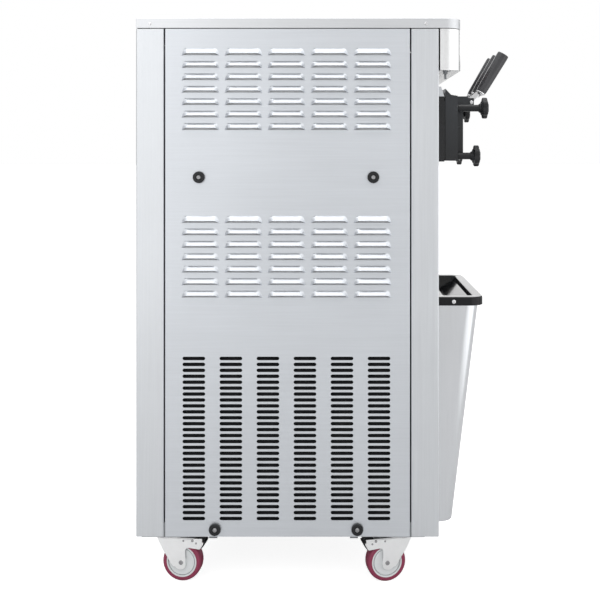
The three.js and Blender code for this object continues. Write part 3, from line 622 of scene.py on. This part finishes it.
def console():
    soft = 2.0
    top = COVER_LOW - 1.6

    def ring(inset, z):
        return [(x, y, z) for x, y in front_outline(HALF_W - inset, -HALF_D - 3.0,
                                                    CONSOLE_FRONT + inset, 40 - inset)]
    rings = []
    for i in range(5):
        a = math.radians(90 * i / 4)
        rings.append(ring(soft * (1 - math.sin(a)), CONSOLE_LOW + soft * (1 - math.cos(a))))
    rings.append(ring(0, top))
    make("console_sheet", Shape().add(*loft(rings, cap_low=True, cap_high=True)), STEEL_CONSOLE_LIT,
         "cabinet", ("console_housing",))
    seal = Shape().add(*box(-HALF_W + 6, HALF_W - 6, -HALF_D - 3.2, -HALF_D - 0.1,
                            CONSOLE_LOW + 8, top - 4))
    make("console_seal", seal, RUBBER, "cabinet", bevel=0.4)


top_cover()
console()


BUTTON_X = (-120, -96, -72, 72, 96, 120)
BUTTON_Z = 1193
DIGIT_Z = 1224
DIGIT_PITCH = 15
DISPLAY_X = (-96, 0, 96)


def control_face():
    """A dark plate with round buttons and three displays of three digits, all segments lit."""
    y = CONSOLE_FRONT
    plate = Shape().add(*prism(rounded(-150, 150, 1177, 1243, 6), "y", y - 0.9, y + 0.5))
    make("control_plate", plate, GLASS_BLACK, "cabinet", ("control_panel",), bevel=0.4)
    buttons = Shape()
    for x in BUTTON_X:
        buttons.add(*lathe([(0, 1.6), (7.2, 1.6), (8.0, 0.8), (8.0, -0.4), (0, -0.4)], "y",
                           (x, y - 1.5, BUTTON_Z), 32))
    make("control_buttons", buttons, ENAMEL, "cabinet")
    digits = Shape()
    z = DIGIT_Z
    for middle in DISPLAY_X:
        for place in (-1, 0, 1):
            x = middle + place * DIGIT_PITCH
            for bar in ((-4, 4, 9, 10.4), (-4, 4, -0.7, 0.7), (-4, 4, -10.4, -9)):
                digits.add(*box(x + bar[0], x + bar[1], y - 1.2, y - 0.8, z + bar[2], z + bar[3]))
            for u in (-5.4, 4.0):
                for v in (-8.6, 1.1):
                    digits.add(*box(x + u, x + u + 1.4, y - 1.2, y - 0.8, z + v, z + v + 7.5))
    make("display_digits", digits, DISPLAY, "cabinet", weld=False)


control_face()


# ---------- small screws and thumbscrews ----------
def pan_head(radius, height):
    """A pan head with a shallow dish for its recess."""
    return [(radius, 0), (radius, height * 0.45), (radius * 0.86, height * 0.8),
            (radius * 0.5, height), (radius * 0.3, height), (radius * 0.22, height * 0.55),
            (0, height * 0.5)]


def facing(side, profile):
    """The profile read outward from a side face."""
    return [(r, side * h) for r, h in profile]


UNDER_CONSOLE_X = (-235, 235)


def side_screws():
    """The cover's and tray's screws, and the two screws and two bolts under the console."""
    heads = Shape()
    for side in (-1, 1):
        for y, z in ((308.4, 1267.6), (-310.8, 1268.0)):
            heads.add(*lathe(facing(side, pan_head(3.6, 1.6)), "x", (side * HALF_W, y, z), 24))
        heads.add(*lathe(facing(side, pan_head(4.6, 2.0)), "x", (side * 210, -380.8, 634), 24))
    for x in UNDER_CONSOLE_X:
        heads.add(*lathe([(0, -1.5), (3.0, -1.5), (4.2, -0.4), (4.2, 0.3), (0, 0.3)], "z",
                         (x, -370, CONSOLE_LOW), 24))
    make("panel_screws", heads, CHROME, "cabinet")
    bolts = Shape()
    for x in UNDER_CONSOLE_X:
        bolts.add(*lathe([(0, -18), (1.9, -18), (2.5, -17), (2.5, -6), (5, -6), (5, -1.2),
                          (6.4, -1), (6.4, 0.5), (0, 0.5)], "z", (x, -358.2, CONSOLE_LOW), 24))
    make("console_bolts", bolts, FRAME_STEEL, "cabinet")


def ridges(count, depth):
    """Fine grooves round a knob."""
    return lambda a: 1.0 - depth * (0.5 - 0.5 * math.cos(count * a)) ** 2


THUMBS = ((198.5, 922.9), (-192.6, 922.9), (162.6, 133.2), (-156.7, 133.2))


def thumbscrews():
    knobs = Shape()
    heads = Shape()
    body = [(0, 0.2), (12.6, 0.2), (13.4, 1.2), (13.4, 6.2), (12.4, 7.4), (6.4, 7.6), (5.6, 6.4),
            (0, 6.4)]
    head = [(4.7, 6.0), (4.7, 7.2), (4.1, 8.0), (2.4, 8.3), (1.9, 7.0), (0, 6.9)]
    for side in (-1, 1):
        for y, z in THUMBS:
            at = (side * HALF_W, y, z)
            knobs.add(*lathe(facing(side, body), "x", at, 96, ridges(24, 0.045)))
            heads.add(*lathe(facing(side, head), "x", at, 28))
    make("thumbscrew_knobs", knobs, BLACK, "cabinet", angle=45)
    make("thumbscrew_heads", heads, SCREW_STEEL, "cabinet")


side_screws()
thumbscrews()

# ---------- dispensing head ----------
STUD_X = 161.6
DRAW_X = (-85.0, 0.0, 85.0)
DRAWS = ("left", "center", "right")
PISTON_Y = -394.0
PIVOT = (-434.0, 1098.5)
GRIP_FOOT = (-460.3, 1123.9)
GRIP_TIP = (-515.5, 1216.8)
ARM_TIP = (PISTON_Y, 1086.5)

refine("cylinder_bezel", BLACK_GLOSS, "cabinet", 0.8)
refine("valve_block", BLOCK_BLACK, "cabinet", 1.4)
bezel_cap = Shape().add(*prism([(-340.2, 1109), (-340.2, 1132), (-354.3, 1132), (-361.7, 1109)],
                               "x", -181.4, 181.4))
make("bezel_cap", bezel_cap, STEEL_FRONT, "cabinet", bevel=0.7)


def pivot_pin():
    y, z = PIVOT
    pin = Shape().add(*lathe([(0, -116), (3.4, -116), (4.2, -115.2), (4.2, -113), (3.9, -112.6),
                              (3.9, 112.6), (4.2, 113), (4.2, 115.2), (3.4, 116), (0, 116)],
                             "x", (0, y, z), 32))
    make("pivot_pin_fine", pin, CHROME, "cabinet", ("handle_pivot_pin",))


def leaning(verts, x):
    """Points of a form along +Z, stood on the grip's foot and leant along the grip."""
    foot = Vector((0, *GRIP_FOOT))
    lean = Vector((0, 0, 1)).rotation_difference(
        (Vector((0, *GRIP_TIP)) - foot).normalized()).to_matrix()
    return [tuple(lean @ Vector(v) + foot + Vector((x, 0, 0))) for v in verts]


GRIP_SIDES = 8


def facets(a):
    """Eight slightly rounded flats round a grip."""
    step = 2 * math.pi / GRIP_SIDES
    across = (a + step / 2) % step - step / 2
    return min(1.0, math.cos(step / 2) / math.cos(across) * 1.035) * 1.03


def draw_lever(name, x):
    """A chrome arm with washers and collar, and its eight-sided grip."""
    y, z = PIVOT
    arm = Shape()
    outline = ([(y + 8, z - 6), (ARM_TIP[0], ARM_TIP[1] - 4.5)]
               + arc(ARM_TIP[0], ARM_TIP[1], 5.0, -70, 95, 6)
               + [(y + 7.5, z + 7), (GRIP_FOOT[0] + 9, GRIP_FOOT[1] + 3),
                  (GRIP_FOOT[0] + 4, GRIP_FOOT[1] + 9), (GRIP_FOOT[0] - 7, GRIP_FOOT[1] + 3),
                  (GRIP_FOOT[0] + 2, GRIP_FOOT[1] - 5)]
               + arc(y, z, 9.0, 160, 300, 8))
    arm.add(*prism(outline, "x", x - 3.6, x + 3.6))
    make(f"lever_arm_{name}", arm, CHROME, f"handle_{name}", bevel=1.2)
    washers = Shape()
    for side in (-1, 1):
        washers.add(*lathe(facing(side, [(4.4, 3.6), (8.2, 3.6), (8.2, 4.8), (7.6, 5.2),
                                         (4.4, 5.2), (4.4, 3.6)]), "x", (x, y, z), 28))
    make(f"lever_washers_{name}", washers, ZINC, f"handle_{name}")
    foot = Vector((0, *GRIP_FOOT))
    length = (Vector((0, *GRIP_TIP)) - foot).length
    collar, faces = lathe([(0, -7), (5.5, -7), (7.2, -5.6), (8.6, -2.6), (10.8, -2.2),
                           (11.6, -1.2), (11.6, 1.2), (10, 1.6), (0, 1.6)], "z", (0, 0, 0), 40)
    make(f"lever_collar_{name}", Shape().add(leaning(collar, x), faces), CHROME,
         f"handle_{name}")
    profile = [(0, 1.2), (9.5, 1.2), (11.2, 1.5), (12.0, 3.0), (12.4, 7), (12.8, 20),
               (13.4, 50), (14.0, 80), (14.3, length - 12), (14.2, length - 3),
               (13.8, length - 1.0), (12.9, length - 0.2), (6.0, length), (0, length)]
    grip, faces = lathe(profile, "z", (0, 0, 0), 64, facets)
    make(f"lever_grip_{name}", Shape().add(leaning(grip, x), faces), GRIP_BLACK,
         f"handle_{name}", (f"draw_handle_{name}",), angle=24)


def draw_piston(name, x):
    """A white piston with the slot that its lever's end works in."""
    top = Shape().add(*lathe([(0, 984), (10.8, 984), (11, 985), (11, 1114.6), (10.2, 1116.6),
                              (8.4, 1117), (4.5, 1117), (4.0, 1115.6), (0, 1115.6)], "z",
                             (x, PISTON_Y, 0), 48))
    piece = make(f"piston_{name}_fine", top, WHITE, f"piston_{name}",
                 (f"draw_piston_{name}",))
    cutter_mesh = bpy.data.meshes.new(f"cutter_{name}")
    verts, faces = box(x - 4.8, x + 4.8, PISTON_Y - 15, PISTON_Y + 15, 1078, 1095)
    cutter_mesh.from_pydata([tuple(P(*v)) for v in verts], [], faces)
    apply_cut(piece, cutter_mesh)


def apply_cut(piece, cutter_mesh):
    """Cuts a temporary solid out of a piece and throws the solid away."""
    edit = bmesh.new()
    edit.from_mesh(cutter_mesh)
    bmesh.ops.recalc_face_normals(edit, faces=edit.faces)
    edit.to_mesh(cutter_mesh)
    edit.free()
    cutter = bpy.data.objects.new("cutter", cutter_mesh)
    bpy.context.scene.collection.objects.link(cutter)
    piece.modifiers.clear()
    step = piece.modifiers.new("slot", "BOOLEAN")
    step.operation = "DIFFERENCE"
    step.solver = "EXACT"
    step.object = cutter
    apply_modifiers(piece)
    smooth_by_angle(piece.data)
    bpy.data.objects.remove(cutter)


pivot_pin()
for draw, draw_x in zip(DRAWS, DRAW_X):
    draw_lever(draw, draw_x)
    draw_piston(draw, draw_x)


KNOB_LOBES = 6


def lobes(a):
    """Finger hollows round a star knob."""
    return 1.0 - 0.13 * (0.5 + 0.5 * math.cos(KNOB_LOBES * a)) ** 1.6


def star_knob(level, side, z, back, front, radius, sleeve_back):
    """A lobed head between two depths, on a sleeve that reaches back to the valve block."""
    x = side * STUD_X
    tall = back - front
    name = f"{level}_{'left' if side < 0 else 'right'}"
    head = Shape()
    crown = [(0, 0.6), (0.42, 0.4), (0.50, 0), (0.58, 0.2), (0.62, 1.0), (0.66, 2.2),
             (0.90, 2.5), (0.97, 3.3), (1.0, 4.8)]
    rim = [(1.0, tall - 5.6), (0.97, tall - 4.2), (0.88, tall - 3.4), (0.68, tall - 3.1),
           (0.62, tall - 0.9), (0.5, tall), (0, tall)]
    head.add(*lathe([(r * radius, h) for r, h in crown + rim], "y", (x, front, z), 96, lobes))
    head.add(*lathe([(8, back - 2), (8, sleeve_back - 3), (7.4, sleeve_back - 0.4),
                     (5.6, sleeve_back - 0.4), (5.6, back - 2)], "y", (x, 0, z), 36))
    head.add(*lathe([(11.0, back - 1), (11.0, back + 1.6), (9.4, back + 4), (8, back + 4.2)],
                    "y", (x, 0, z), 36))
    make(f"knob_{name}_fine", head, BLACK, f"knob_{name}",
         (f"star_knob_{name}",), angle=40)


for knob_side in (-1, 1):
    star_knob("upper", knob_side, 1082.5, -448.6, -466.7, 24.6, -395)
    star_knob("lower", knob_side, 970.0, -428.8, -447.2, 25.0, -394)


# ---------- drip tray and apron ----------
TRAY_HALF = 210.0
TRAY_FRONT = -451.0
TRAY_TOP = 645.0
TRAY_LOW = 625.3
TRAY_CORNER = 31
TRAY_SOFT = 3.0
APRON_TOP = 625.0
APRON_LOW = 124.0
APRON_FRONT = (-380, -441)
APRON_CORNER = (34, 30)
APRON_HALF = 200.0
APRON_STEPS = 10


def tray_ring(half, back, front, radius, z, back_radius=0.6):
    return [(x, y, z) for x, y in front_outline(half, back, front, radius, 8, back_radius)]


def drip_tray():
    """A soft-edged rim round a basin that slopes back to its drain."""
    back = -HALF_D - 0.3
    rings = [tray_ring(TRAY_HALF, back, TRAY_FRONT, TRAY_CORNER, TRAY_LOW)]
    soft = TRAY_SOFT
    for i in range(5):
        a = math.radians(90 * i / 4)
        inset = soft * (1 - math.cos(a))
        rings.append(tray_ring(TRAY_HALF - inset, back - inset * 0.2, TRAY_FRONT + inset,
                               TRAY_CORNER - inset, TRAY_TOP - soft + soft * math.sin(a)))
    rings.append(tray_ring(183, -358, -430.5, 13, TRAY_TOP - 0.2, 9))
    rings.append(tray_ring(180.5, -360.5, -428, 11, TRAY_TOP - 2.5, 8))
    rings.append(tray_ring(178.5, -362, -426.5, 9, TRAY_TOP - 13, 7))
    rings.append(tray_ring(170, -363, -390, 8, 613, 7))
    rings.append(tray_ring(24, -364.5, -388, 8, 611, 8))
    drain = [(x, y, z) for x, y, z in tray_ring(9, -367, -385, 8.99, 611, 8.99)]
    rings.append(drain)
    rings.append([(x, y, 590) for x, y, z in drain])
    make("drip_tray_fine", Shape().add(*loft(rings)), TRAY_BLACK, "cabinet",
         ("drip_tray",), thick=2.6, angle=40, outward=(0, 0, 1))


def apron_path(front, radius):
    """From the cabinet round both front corners and back, as (x, y)."""
    half = APRON_HALF
    back = -HALF_D - 0.3
    straight = (back + front + radius) / 2
    return ([(half, back), (half, straight)]
            + list(reversed(arc(half - radius, front + radius, radius, 270, 360, 10)))
            + list(reversed(arc(-half + radius, front + radius, radius, 180, 270, 10)))
            + [(-half, straight), (-half, back)])


def front_apron():
    """A folded sheet that leans out towards its top."""
    rings = []
    for k in range(APRON_STEPS + 1):
        t = k / APRON_STEPS
        front = APRON_FRONT[0] + (APRON_FRONT[1] - APRON_FRONT[0]) * t
        radius = APRON_CORNER[0] + (APRON_CORNER[1] - APRON_CORNER[0]) * t
        rings.append([(x, y, APRON_LOW + (APRON_TOP - APRON_LOW) * t)
                      for x, y in apron_path(front, radius)])
    make("apron_sheet", Shape().add(*loft(rings, closed=False)), STEEL_APRON, "cabinet",
         ("front_apron",), thick=SHEET, outward=(0, -1, 0))


drip_tray()
front_apron()

# ---------- hoppers, lids, base frame, gland ----------
RIM_TOP = COVER_TOP + 1.8


def lid_ring(side, grow, z, radius):
    return [(x, y, z) for x, y in hopper_outline(side, grow, max(radius, 4.0))]


def hopper_lid(side):
    """A stepped lid that plugs its hopper, with a bar grip."""
    name = "left" if side < 0 else "right"
    base = RIM_TOP + 0.3
    rings = [lid_ring(side, -8, base - 9.5, 14), lid_ring(side, -6.4, base - 9.8, 15),
             lid_ring(side, -5, base - 8.5, 17), lid_ring(side, -5, base - 0.1, 17),
             lid_ring(side, 7, base, 22), lid_ring(side, 7, base + 1.2, 22),
             lid_ring(side, 6, base + 2.0, 21), lid_ring(side, -24, base + 2.2, 16),
             lid_ring(side, -27, base + 3.2, 15), lid_ring(side, -30, base + 4.8, 14),
             lid_ring(side, -34, base + 5.0, 12)]
    middle = side * (HOPPER_IN + HOPPER_OUT) / 2
    lid = Shape().add(*loft(rings, cap_low=True, cap_high=True))
    make(f"lid_{name}_sheet", lid, STEEL_COVER, f"lid_{name}",
         (f"hopper_lid_{name}",), angle=30)
    bar = [(middle, -20, base + 3), (middle, -20, base + 7), (middle, -18, base + 9.2),
           (middle, -14, base + 10), (middle, 35, base + 10), (middle, 84, base + 10),
           (middle, 88, base + 9.2), (middle, 90, base + 7), (middle, 90, base + 3)]
    make(f"lid_{name}_grip", Shape().add(*tube(bar, 2.8, 16)), CHROME, f"lid_{name}")


for lid_side in (-1, 1):
    hopper_lid(lid_side)
refine("hopper_left", STEEL_INNER, "cabinet", 0.4)
refine("hopper_right", STEEL_INNER, "cabinet", 0.4)
refine("base_frame", FRAME_STEEL, "cabinet", 0.5)


GLAND_AT = (150, 0, 220)


def cable_gland():
    shape = Shape()
    shape.add(*lathe([(6, 325), (9.3, 325), (9.3, 340.3), (13.9, 340.3), (13.9, 345),
                      (11.5, 346.5), (9.5, 351), (8.6, 352), (6, 352), (6, 325)], "y",
                     GLAND_AT, 48))
    make("cable_gland_fine", shape, BLACK, "cabinet", ("cable_gland",))


cable_gland()

# ---------- casters ----------
TRAIL = 36.0
WHEEL_R = 45.0
WHEEL_W = 16.0
HUB_R = 35.0
CASTERS = ("rear_left", "rear_right", "front_left", "front_right")


def caster_matrix(place):
    """From the caster's own frame (kingpin on Z, wheel trailing to +Y) to the model's frame."""
    joints = {j["name"]: j for j in frame["record"]["behaviour"]["joints"]}
    kingpin = joints[f"caster_{place}_swivel"]["pos_m"]
    wheel = joints[f"wheel_{place}_roll"]["pos_m"]
    along = Vector((wheel[0] - kingpin[0], wheel[1] - kingpin[1]))
    yaw = math.atan2(-along.x, along.y)
    return Matrix.Translation((kingpin[0], kingpin[1], 0)) @ Matrix.Rotation(yaw, 4, "Z")


def fork_shape():
    """A swivel head and two cheeks."""
    shape = Shape()
    shape.add(*lathe([(0, 110.6), (26, 110.6), (30.6, 109.4), (31, 107.6), (28, 106.2),
                      (28, 104.6), (31, 103.4), (31, 101.5), (29, 100.6), (0, 100.6)], "z",
                     (0, 0, 0), 56))
    cheek = ([(-20, 101), (-19.5, 96), (-7, 72), (3, 57), (12, 42), (17, 36)]
             + arc(TRAIL - 2, WHEEL_R - 1.5, 14.6, 218, 322, 10)
             + [(46.8, 41), (46.4, 52), (45.6, 68), (46.2, 74), (49.6, 78.4), (56, 78.9),
                (79, 76.5), (82, 79), (84.5, 86), (86, 101)])
    for x in (-20.4, WHEEL_W + 1.6):
        shape.add(*prism(cheek, "x", x, x + 2.8))
    shape.add(*prism([(-20.4, 98), (20.4, 98), (20.4, 101.4), (-20.4, 101.4)], "y", -18, 66))
    for x in (-18.4, 14.6):
        shape.add(*prism([(50, 92), (66, 92), (69, 95), (69, 99), (66, 101), (50, 101)], "x",
                         x, x + 3.8))
    return shape


def hardware_shape():
    """The axle bolt and the rivets of the brake housing."""
    shape = Shape()
    y, z = TRAIL, WHEEL_R
    shape.add(*lathe([(0, -21.4), (1.6, -21.4), (2.4, -22.4), (4.2, -22.4), (5.0, -21.6),
                      (5.0, -20.3), (5, 20.3), (5.0, 21.6), (4.2, 22.4), (2.4, 22.4),
                      (1.6, 21.4), (0, 21.4)], "x", (0, y, z), 28))
    for side in (-1, 1):
        for ry, rz, size in ((41.7, 94.6, 2.2), (63, 96.0, 3.0), (71.5, 90.5, 2.2)):
            shape.add(*lathe(facing(side, [(size, 20.2), (size * 0.95, 21.2), (size * 0.5, 21.9),
                                           (0, 22.0)]), "x", (0, ry, rz), 20))
    return shape


def hub_shape():
    w = WHEEL_W
    face = [(5.4, w + 0.6), (9.6, w + 0.6), (10.6, w - 0.2), (12, w - 1.8), (13.2, w - 2.2),
            (28.6, w - 1.2), (29.6, w - 1.6), (29.8, w - 5.5), (31.2, w - 5.5), (31.4, w - 0.8),
            (32.2, w), (34.4, w), (HUB_R, w - 0.6)]
    profile = [(r, -h) for r, h in face] + [(r, h) for r, h in reversed(face)]
    profile.append(profile[0])
    return Shape().add(*lathe(profile, "x", (0, TRAIL, WHEEL_R), 72))


def tyre_shape():
    w = WHEEL_W
    inner = HUB_R + 0.15
    half = [(inner, w - 0.4), (36.4, w), (39.6, w - 0.1), (42.2, w - 1.2), (43.9, w - 3.2),
            (44.7, w - 6.5), (WHEEL_R, w - 11)]
    profile = [(r, -h) for r, h in half] + [(r, h) for r, h in reversed(half)]
    profile.append(profile[0])
    return Shape().add(*lathe(profile, "x", (0, TRAIL, WHEEL_R), 96))


def pedal_shape():
    outline = [(57, 92.6), (74, 92.2), (83, 92.4), (86.4, 90.2), (84.6, 84.2), (80.4, 76.6),
               (81.6, 75.2), (86.6, 81.4), (90.2, 87.6), (92, 92.0), (91.2, 93.0), (88.0, 94.0),
               (90.6, 98.2), (90.0, 99.4), (84, 96.4), (57, 96.4)]
    shape = Shape().add(*prism(outline, "x", -13.4, 13.4))
    shape.add(*lathe([(0, -14.2), (4.4, -14.2), (4.4, 14.2), (0, 14.2)], "x", (0, 62, 96), 24))
    return shape


for place in CASTERS:
    where = caster_matrix(place)
    make(f"fork_{place}_fine", fork_shape(), ZINC, f"caster_{place}",
         (f"caster_fork_{place}",), bevel=0.7, matrix=where)
    make(f"axle_{place}", hardware_shape(), SCREW_STEEL, f"caster_{place}", matrix=where)
    make(f"hub_{place}_fine", hub_shape(), HUB, f"wheel_{place}",
         (f"caster_hub_{place}",), matrix=where)
    make(f"tyre_{place}_fine", tyre_shape(), TYRE, f"wheel_{place}",
         (f"caster_tyre_{place}",), matrix=where, angle=50)
    make(f"pedal_{place}_fine", pedal_shape(), BLACK, f"brake_{place}",
         (f"brake_pedal_{place}",), bevel=0.5, matrix=where)

# ---------- carried-over inner machinery ----------
INNER = {
    "mid_deck": FRAME_STEEL, "freezing_cylinder_left": STEEL_INNER,
    "freezing_cylinder_right": STEEL_INNER, "beater_left": STEEL_INNER,
    "beater_right": STEEL_INNER, "gearbox_left": FRAME_STEEL, "gearbox_right": FRAME_STEEL,
    "gearbox_pulley_left": FRAME_STEEL, "gearbox_pulley_right": FRAME_STEEL,
    "drive_motor": ENAMEL, "motor_pulley": FRAME_STEEL, "drive_belt": RUBBER,
    "compressor": ENAMEL, "condenser": FINS, "fan_motor": ENAMEL, "condenser_fan": BLACK,
}
for node, material in INNER.items():
    target = frame["nodes"][node]
    target.data.materials.clear()
    target.data.materials.append(material)

# ---------- floor, light and camera ----------
FLOOR_HALF = 60
FLOOR_GREY = (0.50, 0.515)
FLOOR_GLOW = 0.84
SWEEP_GLOW = 0.75
SWEEP_Y = (-1.1, -2.0)
SWEEP_X = (0.0, -0.5)


def floor():
    """A pale floor, white to the camera, with a brighter sweep in front and to the left."""
    mesh = bpy.data.meshes.new("floor")
    h = FLOOR_HALF
    mesh.from_pydata([(-h, -h, 0), (h, -h, 0), (h, h, 0), (-h, h, 0)], [], [(0, 1, 2, 3)])
    plane = bpy.data.objects.new("floor", mesh)
    bpy.context.scene.collection.objects.link(plane)
    material, tree, shader = nodes_of("floor_white")
    tree.links.new(ramp(tree, noise(tree, 2.0), *FLOOR_GREY), shader.inputs["Base Color"])
    shader.inputs["Roughness"].default_value = 0.9
    shader.inputs["Emission Color"].default_value = (1, 1, 1, 1)
    path = tree.nodes.new("ShaderNodeLightPath")
    glow = combine(tree, "MULTIPLY", path.outputs["Is Camera Ray"], FLOOR_GLOW)
    axes = axes_of(tree)
    ahead = map_range(tree, axes["Y"], *SWEEP_Y, 0.0, SWEEP_GLOW)
    beside = map_range(tree, axes["X"], *SWEEP_X, 0.0, 1.0)
    sweep = combine(tree, "MULTIPLY", ahead, beside)
    tree.links.new(combine(tree, "ADD", glow, sweep), shader.inputs["Emission Strength"])
    mesh.materials.append(material)


def area_light(name, location, target, size, power):
    """A soft rectangular light turned to its target, in metres and watts."""
    data = bpy.data.lights.new(name, "AREA")
    data.shape = "RECTANGLE"
    data.size, data.size_y = size
    data.energy = power
    light = bpy.data.objects.new(name, data)
    light.location = location
    aim = Vector(target) - Vector(location)
    light.rotation_euler = aim.to_track_quat("-Z", "Y").to_euler()
    bpy.context.scene.collection.objects.link(light)


floor()
area_light("key", (-2.7, 1.25, 1.2), (-0.27, 0.3, 0.9), (1.5, 2.4), 7.5)
area_light("front_soft", (-0.6, -3.4, 2.6), (0, -0.3, 0.8), (1.6, 2.2), 3)
area_light("top_soft", (0.0, 0.0, 4.5), (0, 0, 0.6), (4.0, 4.0), 60)


TENT_BASE = 0.72
# (axis, start, end, change): how the tent's brightness varies with direction.
TENT = (
    ("Z", 0.25, 0.65, 0.45), ("Z", 0.70, 0.95, 0.25), ("Y", -0.40, -0.85, 0.62),
    ("Y", -0.25, 0.30, 0.38), ("Y", 0.35, 0.95, -0.42), ("X", 0.42, 0.56, -0.60),
    ("X", 0.80, 0.92, 1.40),
)


def studio_world():
    """A soft tent for light and reflections, with plain white walls to the camera."""
    world = bpy.data.worlds.new("studio")
    world.use_nodes = True
    tree = world.node_tree
    axes = axes_of(tree, "Generated")
    glow = TENT_BASE
    for axis, start, end, change in TENT:
        glow = combine(tree, "ADD", glow,
                       map_range(tree, axes[axis], start, end, 0.0, change, smooth=True))
    path = tree.nodes.new("ShaderNodeLightPath")
    wall = tree.nodes.new("ShaderNodeMix")
    wall.inputs["B"].default_value = 1.0
    tree.links.new(path.outputs["Is Camera Ray"], wall.inputs["Factor"])
    tree.links.new(glow, wall.inputs["A"])
    tree.links.new(wall.outputs["Result"], tree.nodes["Background"].inputs["Strength"])
    tree.nodes["Background"].inputs["Color"].default_value = (1.0, 1.0, 1.0, 1)
    return world


bpy.context.scene.world = studio_world()
bpy.context.scene.view_settings.view_transform = "Standard"
bpy.context.scene.view_settings.look = "None"

CAMERA_AT = (-2470.0, -113.4, 984.0)
CAMERA_LENS = 58.83
CAMERA_SHIFT = (-0.0633, -0.25)
camera_data = bpy.data.cameras.new("camera")
camera_data.lens = CAMERA_LENS
camera_data.sensor_width = 36.0
camera_data.shift_x, camera_data.shift_y = CAMERA_SHIFT
camera_data.dof.use_dof = False
camera = bpy.data.objects.new("camera", camera_data)
camera.location = P(*CAMERA_AT)
camera.rotation_euler = (math.radians(90), 0, math.radians(-90))
bpy.context.scene.collection.objects.link(camera)
bpy.context.scene.camera = camera
